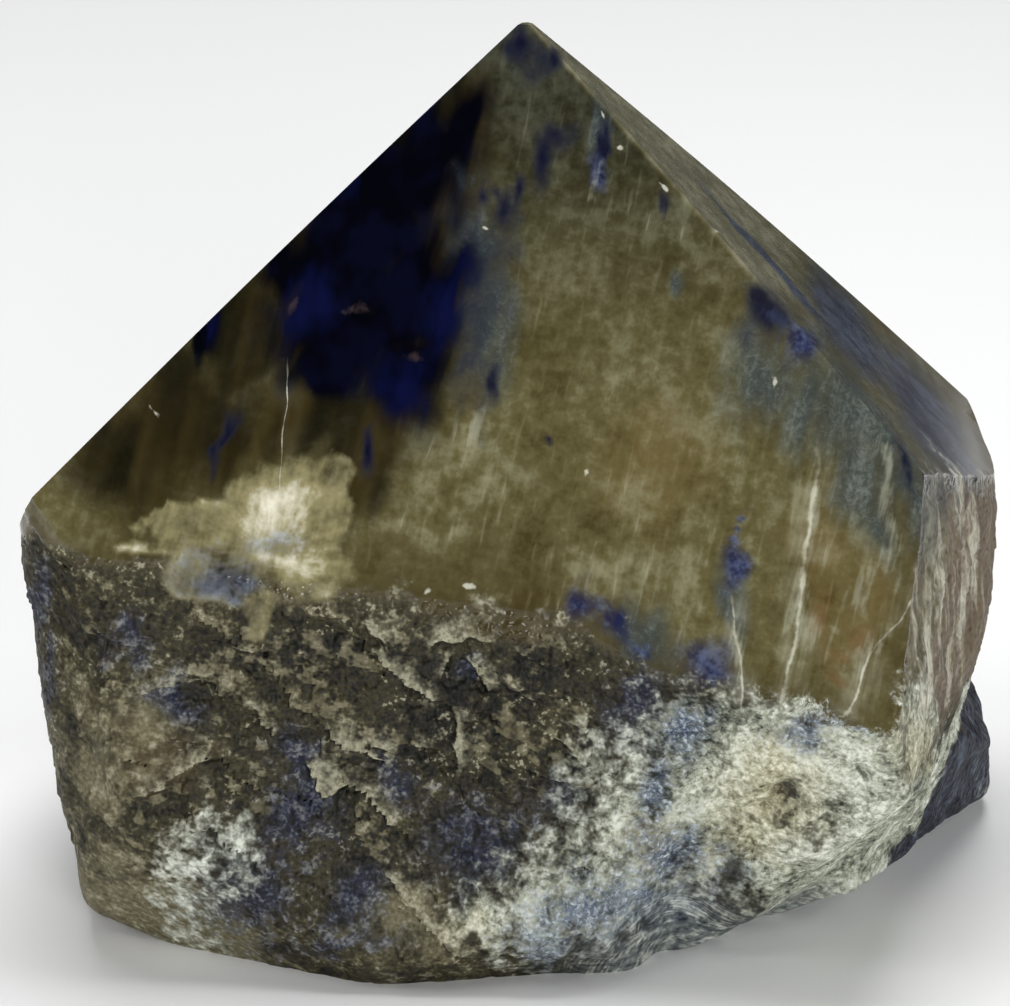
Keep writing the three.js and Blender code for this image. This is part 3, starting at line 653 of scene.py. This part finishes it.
def markings(p, u, depth_of_break):
    """Every marking as a field over the stone: each patch group is looked up at a place that wanders,
    mostly along the fibres."""
    fibrous = shaken(p @ FIBRES, FRONT_FIBRES, 90)
    wandering = p + 0.9 * shaken(p, 7, 80) + 0.7 * shaken(p, 3, 83)
    wandering = wandering + (fibrous * (0.3, 1.3, 0.3)) @ FIBRES.T
    steady = p + 0.45 * shaken(p, 2.2, 86)
    shattered = p + 0.9 * shaken(p, 3.4, 120) + 0.5 * shaken(p, 1.4, 123)
    cracked = p + 0.35 * shaken(p, 2.6, 110) + 0.12 * shaken(p, 1.1, 113)
    under, _, flank, corner, _ = shares(u)
    body, shoulder = body_and_shoulder(u)
    azimuth, z = azimuth_of(u), p[..., 2]

    before_facets = rise(-2, 0.3, -depth_of_break)
    gap_front, gap_right, gap_rear = [
        (p - APEX) @ face_axes(*FACETS[name])[:, 2] for name in ("front", "right", "rear right")
    ]
    side = rise(-0.5, 0.3, gap_right - np.maximum(gap_front, gap_rear))
    hidden = rise(-4, 6, p[..., 1]) * (1 - side * before_facets)
    hidden_blue = noise(p, 15, 95) + 0.5 * noise(p @ FIBRES, np.array([3.0, 10, 5]), 96)
    hidden_veil = noise(p, 11, 97) + 0.4 * noise(p, 4, 98)

    def on_hidden(field):
        """The field on the sides away from the front, and well under 0 elsewhere."""
        return field * hidden - 3 * (1 - hidden)

    flank = np.maximum(flank, rise(40, 46, azimuth) * (1 - rise(60, 95, azimuth)) * (1 - under))
    flank = flank * rise(16, 21, z + noise(p, 4, 99)) * (1 - rise(-0.4, 0.8, shoulder - body))
    unsteady = azimuth + 9 * noise(p, 6, 152)
    skirt = rise(36, 46, azimuth) * (1 - rise(SKIRT_END - 10, SKIRT_END + 10, unsteady))
    skirt = skirt * rise(SKIRT_TOP + 2, SKIRT_TOP - 2, z + 2.5 * noise(p, 5, 153))
    skirt = 2.0 * skirt * (1 - rise(-0.4, 0.6, shoulder - body) * rise(28.5, 31, p[..., 0])) - 1
    shoulder_end = np.maximum((p[..., 0] - SHOULDER_LEFT) * 0.6, (unsteady - SHOULDER_START) * 0.1)
    shoulder_rise = (shoulder - body + 1.4 * noise(p, 4, 154) + 0.6) * 0.8
    worn_corner = rise(-0.1, 0.6, inside(p, WORN_CORNER, 7))
    lip = rise(-0.5, 0.6, inside(wandering, CRUST_LIP, SHALLOW))
    seen, edge = p @ FLANK, on_stone(FLANK_EDGE[::-1], "right") @ FLANK
    beside = seen[..., 0] - np.interp(seen[..., 1], edge[:, 1], edge[:, 0])

    deep = np.maximum(inside(wandering, DEEP_BLUE), on_hidden((hidden_blue - 0.25) * 2.2))
    gloom = np.maximum(inside(wandering, GLOOM), np.clip(deep + 0.25, -3, 0.5))
    navy = inside(steady + 0.5 * shaken(p, 1.3, 133), NAVY)
    haze = np.maximum(inside(wandering, BLUE_HAZE), on_hidden((hidden_veil - 0.5) * 2))
    speckled = np.maximum(inside(wandering, SPECKLED_BLUE, 12), on_hidden(hidden_blue + 0.1))
    fringe = np.minimum(inside(wandering, CHALK_FRINGE, DEEP), 0.0)
    chalk = np.max([inside(wandering, CRUST, DEEP), skirt, fringe, on_hidden((hidden_veil - 0.4) * 1.4)], 0)
    marks = {
        "broken": np.clip(depth_of_break - 2.5 * worn_corner + 1.6 * lip, -4, 3),
        "under": under,
        "flank": flank,
        "shoulder": np.clip(np.minimum(shoulder_rise, shoulder_end), -1.5, 1.5),
        "deep_blue": deep,
        "royal": inside(wandering, ROYAL),
        "gloom": gloom,
        "navy": np.maximum(navy, np.minimum(inside(wandering, DIM_NAVY), 0)),
        "blue": inside(wandering + 0.9 * shaken(p, 2.2, 130), BLUE),
        "haze": haze,
        "side_haze": inside(wandering, SIDE_HAZE, SIDE_DEPTH, "right"),
        "speckled_blue": speckled,
        "dark_break": inside(wandering, DARK_BREAK, 12),
        "veil": np.maximum(inside(wandering, VEILS), on_hidden(hidden_veil)),
        "honey": inside(wandering, HONEY, 8),
        "amber": inside(wandering, AMBER, SHALLOW),
        "tan": np.maximum(inside(wandering, TAN, 10), 2.8 * corner - 0.9),
        "milk": inside(cracked, MILK, SHALLOW),
        "chalk": chalk,
        "crust_blue": inside(wandering, CRUST_BLUE, DEEP),
        "crust_cream": inside(wandering, CRUST_CREAM, DEEP),
        "rosy": inside(wandering, ROSY_SPOTS),
        "dusk": rise(44, 69, z) * (1 - side),
        # painted sheen: the right facet's upper part
        "painted_side_sheen": side * rise(46, 56, z),
        "threads": rise(0.2, -0.4, gloom) * (1 - 0.9 * side),
        "flank_bands": inside(cracked, FLANK_BANDS, 5, "right", WALLS["right flank"][:2]),
        "flank_left": rise(0.5, -0.5, beside),
        "flank_blue": rise(31, 39, z + 2 * noise(p, 5, 150)),
        "cloud": noise(p, 12, 101) + 0.6 * noise(p, 5, 102),
        "mottle": clouded(p @ TURNED, 2.8, 160),
        "veins": clouded(p @ FIBRES, np.array([2.0, 14.0, 6.0]), 170),
        "white_chip": nearest_spot(cracked, WHITE_CHIPS),
        "painted_pit_shade": nearest_spot(cracked, PIT_SHADE_SPOTS, 2.0),
    }
    marks["bruise"], marks["bruise_pale"], marks["bruise_blue"] = bruise_pieces(shattered)
    marks["crack"] = nearest_crack(cracked, CRACKS, FRONT)
    marks["crack"][..., 1:] *= before_facets[..., None]
    return marks


COLUMNS = 410
FRONT_DENSITY = 2.1
TIP_ROWS, POLISHED_ROWS, ROUGH_ROWS, RESTING_ROWS = 1, 72, 162, 5


def column_azimuths():
    """Evenly spaced round the stone's girdle and closer in front, with one column on each ridge."""
    turn = np.linspace(-math.pi, math.pi, 2001)
    girdle = broken_radius(facing(np.degrees(turn), 0 * turn - 8))
    closer = 1 + (FRONT_DENSITY - 1) * (1 - rise(75, 105, np.abs(np.degrees(turn))))
    walked = np.concatenate([[0], np.cumsum((girdle * closer)[1:])])
    azimuth = np.interp(np.linspace(0, walked[-1], COLUMNS + 1), walked, turn)
    for ridge in ridge_azimuths():
        azimuth[np.argmin(np.abs(azimuth - ridge))] = ridge
    return azimuth


def stone_grid():
    """Points and markings by row and column. The rows run from the pole over the tip's rim, the facets'
    lower border and the resting rim to the lower pole."""
    azimuth = column_azimuths()
    level_tip = lambda u: (TIP_HEIGHT - CENTRE[2]) / np.maximum(u[..., 2], 1e-3)
    tip = crossing(azimuth, lambda u: level_tip(u) - polished_radius(u) - 1e-6, 0.01, 5)
    gap = lambda u: polished_radius(u) - np.minimum(rough_radius(u)[0], FACET_CAP)
    border = crossing(azimuth, gap, 25, 118)
    rim = crossing(azimuth, lambda u: rough_radius(u)[0] - resting_radius(u), 100, 176)
    pole = 0 * rim + math.pi
    spans = [
        (0 * tip, tip, TIP_ROWS),
        (tip, border, POLISHED_ROWS),
        (border, rim, ROUGH_ROWS),
        (rim, pole, RESTING_ROWS),
    ]
    steps = [a + (b - a) * np.linspace(0, 1, rows + 1)[:-1, None] for a, b, rows in spans]
    polar = np.concatenate(steps + [pole[None]])
    u = facing(np.degrees(np.broadcast_to(azimuth, polar.shape)), 90 - np.degrees(polar))
    smooth, resting = polished_radius(u), resting_radius(u)
    rough, signs = rough_radius(u)
    radius = np.minimum(smooth, np.minimum(rough, resting))
    points = CENTRE + u * radius[..., None]
    marks = markings(points, u, smooth - np.minimum(rough, resting))
    marks.update(signs)
    return points, marks


FIELD_PLACES = {}


def packed(marks):
    """Single fields put together by threes, with a note of where each one went. Triple ones stay."""
    triples = {name: grid for name, grid in marks.items() if grid.ndim == 3}
    singles = [name for name, grid in marks.items() if grid.ndim == 2]
    for first in range(0, len(singles), 3):
        names = singles[first:first + 3]
        group = f"fields_{first // 3}"
        FIELD_PLACES.update({name: (group, k) for k, name in enumerate(names)})
        grids = [marks[name] for name in names]
        triples[group] = np.stack(grids + [0 * grids[0]] * (3 - len(names)), -1)
    return triples


def make_stone():
    """The grid closed into one skin: the last column is the first, and each pole is one point with a fan."""
    points, marks = stone_grid()
    rows, columns = points.shape[0], points.shape[1] - 1
    inner = points[1:-1, :columns].reshape(-1, 3)
    vertices = np.concatenate([points[:1, 0], inner, points[-1:, 0]]) * MM
    count = len(vertices)
    ring = 1 + np.arange((rows - 2) * columns).reshape(rows - 2, columns)
    after = np.roll(ring, -1, 1)
    quads = np.stack([ring[:-1], ring[1:], after[1:], after[:-1]], -1).reshape(-1, 4)
    top = np.stack([np.zeros(columns, int), ring[0], after[0]], -1)
    bottom = np.stack([np.full(columns, count - 1), after[-1], ring[-1]], -1)
    mesh = bpy.data.meshes.new("stone")
    mesh.from_pydata(vertices.tolist(), [], top.tolist() + quads.tolist() + bottom.tolist())
    mesh.polygons.foreach_set("use_smooth", np.ones(len(mesh.polygons), bool))
    mesh.set_sharp_from_angle(angle=math.radians(CREASE_ANGLE))
    for name, grid in packed(marks).items():
        values = np.concatenate([grid[:1, 0], grid[1:-1, :columns].reshape(-1, 3), grid[-1:, 0]])
        field = mesh.attributes.new(name, "FLOAT_VECTOR", "POINT")
        field.data.foreach_set("vector", values.ravel().astype(np.float32))
    mesh.update()
    stone = bpy.data.objects.new("stone", mesh)
    bpy.context.scene.collection.objects.link(stone)
    return stone


# -------------------------------- finish of the stone


def tone(colour):
    """A colour given as shown on screen, 0 to 255, made linear. A node's output stays as it is."""
    if not isinstance(colour, tuple):
        return colour
    shown = [c / 255 for c in colour]
    return tuple(c / 12.92 if c <= 0.04045 else ((c + 0.055) / 1.055) ** 2.4 for c in shown) + (1.0,)


class Finish:
    """Adds shader nodes to a material. Every method returns the output that it made."""

    def __init__(self, name):
        self.material = bpy.data.materials.new(name)
        self.material.use_nodes = True
        self.tree = self.material.node_tree
        self.tree.nodes.clear()
        self.read, self.textures = {}, {}

    def add(self, kind, inputs=(), **settings):
        node = self.tree.nodes.new("ShaderNode" + kind)
        for key, value in settings.items():
            setattr(node, key, value)
        for key, value in dict(inputs).items():
            if isinstance(value, bpy.types.NodeSocket):
                self.tree.links.new(value, node.inputs[key])
            else:
                node.inputs[key].default_value = value
        return node

    def surface(self, inputs):
        self.add("OutputMaterial", {"Surface": self.add("BsdfPrincipled", inputs).outputs[0]})

    def math(self, operation, first, second=0.0, third=0.0):
        return self.add("Math", {0: first, 1: second, 2: third}, operation=operation).outputs[0]

    def vector(self, operation, first, second=(0, 0, 0), third=(0, 0, 0), scale=1.0):
        node = self.add("VectorMath", {0: first, 1: second, 2: third, 3: scale}, operation=operation)
        return node.outputs["Value" if operation == "LENGTH" else "Vector"]

    def field(self, name):
        group, channel = FIELD_PLACES[name]
        return self.triple(group)[channel]

    def triple(self, name):
        """The three numbers of a packed field, read once."""
        if name not in self.read:
            packed_field = self.add("Attribute", attribute_name=name).outputs["Vector"]
            self.read[name] = self.add("SeparateXYZ", {0: packed_field}).outputs
        return self.read[name]

    def rise(self, value, low, high, to_low=0.0, to_high=1.0):
        inputs = {0: value, 1: low, 2: high, 3: to_low, 4: to_high}
        return self.add("MapRange", inputs, interpolation_type="SMOOTHSTEP").outputs[0]

    def mix(self, share, first, second):
        inputs = {0: share, 6: tone(first), 7: tone(second)}
        return self.add("Mix", inputs, data_type="RGBA").outputs[2]

    def between(self, value, low, high, first, second):
        """The first colour where the value is low, the second where it is high."""
        return self.mix(self.rise(value, low, high), first, second)

    def noise(self, place, size, detail, roughness):
        """Lumps of a size, about 0."""
        inputs = {"Vector": place, "Scale": 1 / size, "Detail": detail, "Roughness": roughness}
        return self.math("SUBTRACT", self.add("TexNoise", inputs).outputs["Fac"], 0.5)

    def frame(self, place, axes, scale=(1, 1, 1), middle=(0, 0, 0)):
        """The place from the middle along the frame's axes, drawn out by the scale."""
        turn = Matrix(axes.tolist()).to_euler("XYZ")
        inputs = {"Vector": place, "Location": middle, "Rotation": turn, "Scale": scale}
        return self.add("Mapping", inputs, vector_type="TEXTURE").outputs[0]

    def frayed(self, value, **amounts):
        """The value with each texture named added by its amount, so that its rim frays."""
        for name, amount in amounts.items():
            value = self.math("MULTIPLY_ADD", self.textures[name], amount, value)
        return value

    def cover(self, name, low, high, share, **amounts):
        """How much of a frayed field's patches shows: none below low and the share above high."""
        return self.rise(self.frayed(self.field(name), **amounts), low, high, 0, share)

    def stain(self, body, name, low, high, share, colour, **amounts):
        """The body with a colour laid over it where a field's patches are."""
        return self.mix(self.cover(name, low, high, share, **amounts), body, colour)

    def ramp(self, value, dark, middle, pale):
        """Dark at 0, middle at a half and pale at 1, with even steps between."""
        node = self.add("ValToRGB", {"Fac": value})
        stops = node.color_ramp.elements
        stops[0].color, stops[1].color = tone(dark), tone(pale)
        stops.new(0.5).color = tone(middle)
        return node.outputs[0]

    def spotted(self, body, name, high, share, colour, **amounts):
        """The body with a colour in the middle of each small spot, frayed at the rim."""
        place = self.add("Attribute", attribute_name=name).outputs["Vector"]
        spot = self.frayed(self.math("SUBTRACT", 1.0, self.vector("LENGTH", place)), **amounts)
        return self.mix(self.rise(spot, -0.1, high, 0, share), body, colour)

    def crack(self, name):
        """A thin frayed line with a wider, weaker veil along it."""
        aside, near, around = self.triple(name)
        veil = self.textures["fray"]
        line = self.math("SUBTRACT", 1.0, self.math("ABSOLUTE", aside))
        broken_up = self.math("MULTIPLY", near, self.rise(veil, -0.12, 0.1, 0.25, 1.0))
        core = self.math("MULTIPLY", self.rise(self.frayed(line, coarse=3.0), -0.4, 1.2), broken_up)
        band = self.math("MULTIPLY", self.rise(veil, -0.12, 0.16), around)
        return core, band


def polished_tone(f, t):
    """Honey and olive stone, clouded: greener and darker to the tip, brown by the navy, with pale veils,
    and a painted sheen high on the right facet.
    """
    value = f.math("MULTIPLY_ADD", f.field("cloud"), 0.09, 0.46)
    value = f.frayed(value, mottle=1.1, coarse=1.05, veins=0.5, streaks=0.35)
    veil = f.cover("veil", -0.3, 1.0, 0.36, fray=1.6)
    body = f.ramp(f.math("ADD", value, veil), (64, 56, 27), (93, 87, 56), (130, 127, 98))
    body = f.stain(body, "honey", -0.5, 1.0, 0.45, (108, 90, 54), fray=1.4)
    body = f.stain(body, "amber", -0.4, 1.0, 0.45, (118, 80, 50), fray=1.0)
    dusk = f.between(value, 0.2, 0.8, (24, 26, 19), (54, 57, 47))
    body = f.mix(f.math("MULTIPLY", f.field("dusk"), 0.9), body, dusk)
    # painted sheen: paler olive on the right facet's upper part
    pale = f.between(value, 0.2, 0.8, (96, 94, 74), (132, 129, 108))
    body = f.stain(body, "painted_side_sheen", 0.1, 0.9, 0.9, pale, fray=1.2)
    body = f.stain(body, "broken", -4.0, 0.2, 0.55, (66, 57, 34), mottle=6.0)
    brown = f.between(t["veins"], -0.15, 0.2, (9, 8, 3), (50, 41, 16))
    body = f.stain(body, "gloom", -0.6, 0.5, 0.92, brown, fray=1.0)
    gathered = f.rise(f.math("MULTIPLY_ADD", f.field("veil"), 0.15, t["mottle"]), -0.08, 0.12, 0.1, 0.4)
    thread = f.math("MULTIPLY", f.rise(t["streaks"], 0.08, 0.24), gathered)
    return f.mix(f.math("MULTIPLY", thread, f.field("threads")), body, (156, 152, 124))


def polished_blue(f, t, body):
    """Haze, small patches and the deep navy area, each with a wide frayed rim."""
    haze = f.frayed(f.math("MAXIMUM", f.field("haze"), f.field("side_haze")), fray=1.8)
    hazy = f.frayed(0.46, veins=0.8, streaks=0.5, lace=1.0)
    hazy = f.ramp(hazy, (28, 36, 46), (60, 69, 70), (114, 122, 118))
    body = f.mix(f.rise(haze, -0.6, 0.9, 0, 0.82), body, hazy)
    clouds = f.math("MULTIPLY_ADD", t["mottle"], 1.0, t["coarse"])
    side = f.between(clouds, -0.26, 0.3, (26, 32, 58), (74, 82, 104))
    body = f.stain(body, "side_haze", -0.2, 0.6, 0.7, side, fray=1.0)
    navy = f.frayed(f.field("navy"), fray=1.9)
    navy_tone = f.between(navy, 0.0, 0.9, (26, 30, 48), (5, 8, 36))
    body = f.mix(f.rise(navy, -0.6, 0.7, 0, 0.9), body, navy_tone)
    clouds = f.math("MULTIPLY_ADD", t["veins"], 0.8, t["coarse"])
    blue = f.between(clouds, -0.12, 0.2, (16, 24, 66), (70, 82, 116))
    body = f.stain(body, "blue", -0.6, 0.8, 0.85, blue, fray=2.0)
    depths = f.between(t["mottle"], -0.1, 0.12, (1, 1, 7), (4, 6, 24))
    depths = f.stain(depths, "royal", -0.2, 1.1, 0.7, (10, 15, 56), fray=2.2)
    return f.stain(body, "deep_blue", -0.45, 0.4, 1.0, depths, fray=1.0)


def broken_tone(f, t):
    """Dark sugary grain, with painted shade in its hollows and painted light on its rises, paler flakes
    whose raised edges carry a painted highlight, speckled blue, the smooth corner and the columned flank."""
    # painted shade and light: the relief height makes hollows darker and raised parts paler
    value = f.math("MULTIPLY_ADD", f.field("swell"), 0.2, 0.42)
    value = f.frayed(value, mottle=1.2, coarse=1.5, grain=1.0)
    value = f.math("SUBTRACT", value, f.cover("dark_break", -0.4, 0.8, 0.2, fray=1.4))
    rough = f.ramp(value, (11, 11, 4), (57, 52, 32), (114, 109, 84))
    piece = f.between(t["coarse"], -0.1, 0.1, (96, 90, 66), (138, 132, 104))
    # pale pieces, partly paler stone and partly a painted highlight on their raised edges
    rough = f.stain(rough, "piece", 0.4, 0.7, 0.5, piece, coarse=1.6)
    fine = f.math("MULTIPLY_ADD", t["coarse"], 0.62, f.math("MULTIPLY", t["grain"], 0.38))
    fleck = f.math("MULTIPLY", f.rise(fine, 0.07, 0.12), f.rise(t["mottle"], -0.06, 0.1, 0.05, 0.75))
    rough = f.mix(fleck, rough, f.between(t["grain"], -0.1, 0.12, (104, 99, 74), (160, 157, 136)))
    rough = f.stain(rough, "honey", -0.2, 1.0, 0.5, (98, 85, 56), fray=1.2)
    sugar = f.frayed(0.5, grain=1.0, coarse=1.2)
    tan = f.ramp(sugar, (88, 82, 58), (124, 118, 90), (168, 163, 138))
    rough = f.stain(rough, "tan", -0.4, 0.9, 0.72, tan, mottle=2.4, coarse=1.2)
    speckled = f.ramp(sugar, (5, 8, 24), (26, 34, 62), (122, 128, 134))
    rough = f.stain(rough, "speckled_blue", -0.2, 0.9, 0.75, speckled, coarse=3.0)
    # pale flakes: cream stone plus a painted highlight along each raised edge
    crisp = f.cover("behind", -0.06, 0.1, 1.0, coarse=1.2)
    flake = f.math("MULTIPLY", f.cover("flake", 0.15, 0.9, 1.0, coarse=1.2), crisp)
    rough = f.mix(flake, rough, f.between(t["grain"], -0.2, 0.1, (122, 118, 92), (168, 165, 142)))
    columns = f.frayed(0.42, upright=1.8, mottle=0.8)
    flank = f.ramp(columns, (66, 60, 42), (110, 102, 78), (190, 187, 168))
    flank = f.mix(f.rise(f.field("flank_left"), 1.0, 0.0, 0, 0.3), flank, (120, 94, 80))
    flank = f.mix(f.math("MULTIPLY", f.field("flank_blue"), 0.5), flank, (66, 76, 88))
    return f.mix(f.math("MULTIPLY", f.field("flank"), 0.92), rough, flank)


def crust_tone(f):
    """White and cream threads over grey, with blue stains."""
    # painted shade and light: the relief height makes the crust darker in its hollows and paler on its lumps
    value = f.math("MULTIPLY_ADD", f.field("swell"), 0.25, 0.56)
    value = f.frayed(value, lace=1.6, coarse=1.1, grain=0.5, mottle=1.4)
    chalk = f.ramp(value, (62, 68, 62), (158, 162, 144), (224, 228, 214))
    cream = f.ramp(value, (96, 82, 48), (168, 158, 118), (220, 213, 180))
    chalk = f.stain(chalk, "crust_cream", -0.5, 1.0, 0.55, cream, fray=1.6)
    threads = f.frayed(0.5, lace=1.7, grain=1.0)
    blue = f.ramp(threads, (4, 12, 46), (66, 84, 116), (196, 206, 208))
    return f.stain(chalk, "crust_blue", -0.3, 0.9, 0.85, blue, lace=3.0)


def bruise(f, t, place, body):
    """Milky cracked pieces round a bright heart, streaked outwards from it."""
    outward = f.frame(place, FRONT, middle=on_stone([BRUISE_HEART])[0])
    direction = f.vector("NORMALIZE", f.vector("MULTIPLY", outward, (1, 1, 0)))
    spread = f.vector("MULTIPLY_ADD", direction, (5, 5, 0), f.vector("SCALE", outward, scale=0.35))
    rays = f.noise(spread, 1.0, 1, 0.6)
    rays = f.math("MULTIPLY", rays, f.rise(f.vector("LENGTH", outward), 1.0, 4.0, 0, 0.4))
    texture = f.math("MULTIPLY_ADD", t["streaks"], 0.3, f.math("MULTIPLY_ADD", t["coarse"], 0.5, rays))
    solid = f.rise(f.math("ADD", f.field("bruise"), texture), -0.1, 0.9, 0, 0.97)
    value = f.frayed(f.math("ADD", f.field("bruise_pale"), texture), mottle=0.7)
    pieces = f.ramp(value, (52, 48, 28), (142, 135, 98), (244, 240, 220))
    blue = f.ramp(value, (30, 34, 54), (118, 127, 140), (216, 224, 232))
    pieces = f.stain(pieces, "bruise_blue", 0.05, 0.9, 1.0, blue, coarse=1.0)
    return f.mix(solid, body, pieces)


def stone_textures(f, place):
    """The textures that all tones share: threads along the fibres, lumps, grain, lace and upright columns."""
    fibres, turned = f.frame(place, FIBRES, (1, 7, 3)), f.frame(place, TURNED)
    t = f.textures
    t["veins"], t["mottle"] = f.field("veins"), f.field("mottle")
    t["streaks"] = f.noise(fibres, 0.7, 2, 0.66)
    t["coarse"] = f.noise(turned, 1.1, 2, 0.72)
    t["grain"] = f.noise(turned, 0.35, 1, 0.66)
    wander = f.add("CombineXYZ", {0: t["mottle"], 1: t["coarse"], 2: t["veins"]}).outputs[0]
    t["lace"] = f.noise(f.vector("MULTIPLY_ADD", wander, (3.5, 2.0, 3.5), place), 0.55, 2, 0.76)
    t["fray"] = f.math("MULTIPLY_ADD", t["streaks"], 0.4, f.math("MULTIPLY", t["mottle"], 0.6))
    layered = f.frame(place, face_axes(28, 150), (6, 6, 0.7))
    columns = f.vector("MULTIPLY", place, (1, 1, 0.14))
    grain = f.add("Mix", {0: f.field("under"), 4: columns, 5: layered}, data_type="VECTOR").outputs[1]
    t["upright"] = f.noise(grain, 1.1, 2, 0.62)
    return t


def stone_finish():
    """Polished olive and navy stone above, grainy broken stone and chalky crust below."""
    f = Finish("sodalite stone")
    place = f.vector("SCALE", f.add("TexCoord").outputs["Object"], scale=1 / MM)
    t = stone_textures(f, place)
    broken = f.field("broken")
    edge = f.cover("broken", -0.7, 1.4, 1.0, coarse=2.4, mottle=7.0)
    body = f.mix(edge, polished_blue(f, t, polished_tone(f, t)), broken_tone(f, t))
    shoulder = f.math("MULTIPLY", f.cover("shoulder", -0.3, 0.3, 1.0, mottle=2.4), edge)
    dark = f.ramp(f.frayed(0.5, upright=1.0, coarse=1.4), (2, 4, 12), (10, 16, 34), (88, 98, 112))
    body = f.mix(shoulder, body, dark)
    chalky = f.cover("chalk", -0.35, 0.65, 0.97, coarse=2.0, mottle=1.0)
    chalky = f.math("MULTIPLY", chalky, f.cover("broken", -0.5, 0.6, 1.0, lace=3.0))
    body = f.mix(chalky, body, crust_tone(f))
    layers = f.frayed(0.5, upright=1.7, coarse=1.6)
    slate = f.ramp(layers, (20, 30, 54), (112, 120, 120), (218, 222, 212))
    body = f.mix(f.math("MULTIPLY", f.field("under"), f.math("MULTIPLY", edge, 0.8)), body, slate)
    body = f.stain(body, "milk", -0.4, 1.3, 0.55, (156, 156, 136), streaks=4.0, coarse=1.2)
    body = bruise(f, t, place, body)
    core, band = f.crack("crack")
    body = f.mix(f.math("MULTIPLY", band, 0.34), body, (170, 170, 150))
    body = f.mix(f.math("MULTIPLY", core, 0.8), body, (204, 202, 182))
    bands = f.math("MULTIPLY", f.cover("flank_bands", -0.4, 1.1, 1.0, upright=2.2, coarse=2.2), 0.8)
    bands = f.math("MULTIPLY", bands, f.rise(f.field("flank"), 0.15, 0.5))
    body = f.mix(bands, body, f.mix(t["lace"], (196, 193, 174), (240, 238, 224)))
    body = f.stain(body, "rosy", -0.2, 0.9, 0.5, (70, 58, 60), coarse=2.0)
    body = f.spotted(body, "white_chip", 0.9, 0.75, (200, 198, 180), coarse=4.0)
    # painted shade in the pits
    body = f.spotted(body, "painted_pit_shade", 0.6, 0.8, (34, 33, 30), coarse=3.4)

    dull = f.math("MULTIPLY_ADD", edge, 0.52, f.math("MULTIPLY_ADD", t["mottle"], 0.1, 0.09))
    dull = f.math("MULTIPLY_ADD", chalky, 0.2, dull)
    height = f.math("MULTIPLY", f.noise(place, 0.55, 0, 0.5), f.rise(broken, 0.0, 0.4, 0, 0.4))
    bump = f.add("Bump", {"Strength": 1.0, "Distance": MM, "Height": height}).outputs[0]
    gloss = {"Roughness": dull, "Normal": bump, "IOR": 1.48, "Specular IOR Level": 0.3}
    f.surface({"Base Color": body, **gloss})
    return f.material


stone = make_stone()
stone.data.materials.append(stone_finish())
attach(stone, "root")
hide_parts("sodalite_stone")

# -------------------------------- floor, light and camera


FLOOR_SIDE, FLOOR_FAR = 1.5, 0.5
SHEET_PAINTED_SHADE = (0.29, 0.36)
CAMERA_AIM, CAMERA_AWAY, CAMERA_ELEVATION = Vector((-0.00163, 0, 0.0316)), 0.45, 20
LENS_MM, SENSOR_MM = 195.69, 36
LAMP_AIM = Vector((0, 0, 0.032))
# lamp: azimuth, elevation and distance, size in metres, and power in watts
LAMPS = {
    "top": (180, 80, 0.65, 0.45, 3.9),
    "key left": (-40, 55, 0.8, 0.3, 0.7),
    "front low": (12, 13, 0.9, 0.32, 4.4),
    "side right": (85, 30, 0.8, 0.3, 0.9),
    "side left": (-85, 30, 0.8, 0.3, 0.9),
}
ROOM_TONE, ROOM_STRENGTH = (0.9, 0.95, 1.0, 1), 0.05


def make_stage():
    """A plain pale sheet under the stone, with painted shade that darkens it to its far end."""
    left, right, near, far = -FLOOR_SIDE, FLOOR_SIDE, -FLOOR_SIDE, FLOOR_FAR
    mesh = bpy.data.meshes.new("floor")
    corners = [(left, near, 0), (right, near, 0), (right, far, 0), (left, far, 0)]
    mesh.from_pydata(corners, [], [(0, 1, 2, 3)])
    floor = bpy.data.objects.new("floor", mesh)
    bpy.context.scene.collection.objects.link(floor)
    paper = Finish("pale paper")
    back = paper.add("SeparateXYZ", {0: paper.add("TexCoord").outputs["Object"]}).outputs[1]
    # painted shade: the sheet darkens toward its far end
    shade = paper.between(back, *SHEET_PAINTED_SHADE, (246, 246, 246), (96, 96, 98))
    paper.surface({"Base Color": shade, "Roughness": 0.85, "Specular IOR Level": 0.1})
    mesh.materials.append(paper.material)


def placed(name, data, aim, azimuth, elevation, distance):
    """A holder for a lamp or camera that looks at its aim from that side."""
    back = Vector(facing(azimuth, elevation))
    holder = bpy.data.objects.new(name, data)
    holder.location = aim + back * distance
    holder.rotation_mode = "QUATERNION"
    holder.rotation_quaternion = back.to_track_quat("Z", "Y")
    bpy.context.scene.collection.objects.link(holder)
    return holder


def make_lights():
    """Soft square lamps that face the stone, in a dim room."""
    for name, (azimuth, elevation, distance, size, power) in LAMPS.items():
        lamp = bpy.data.lights.new(name, "AREA")
        lamp.energy, lamp.size = power, size
        placed(name, lamp, LAMP_AIM, azimuth, elevation, distance)
    world = bpy.data.worlds.new("room")
    world.use_nodes = True
    background = world.node_tree.nodes["Background"]
    background.inputs[0].default_value = ROOM_TONE
    background.inputs[1].default_value = ROOM_STRENGTH
    bpy.context.scene.world = world


def make_camera():
    camera = bpy.data.cameras.new("camera")
    camera.lens, camera.sensor_width = LENS_MM, SENSOR_MM
    camera.clip_start, camera.clip_end = 0.01, 10
    bpy.context.scene.camera = placed("camera", camera, CAMERA_AIM, 0, CAMERA_ELEVATION, CAMERA_AWAY)


make_stage()
make_lights()
make_camera()
bpy.context.scene.view_settings.view_transform = "Standard"
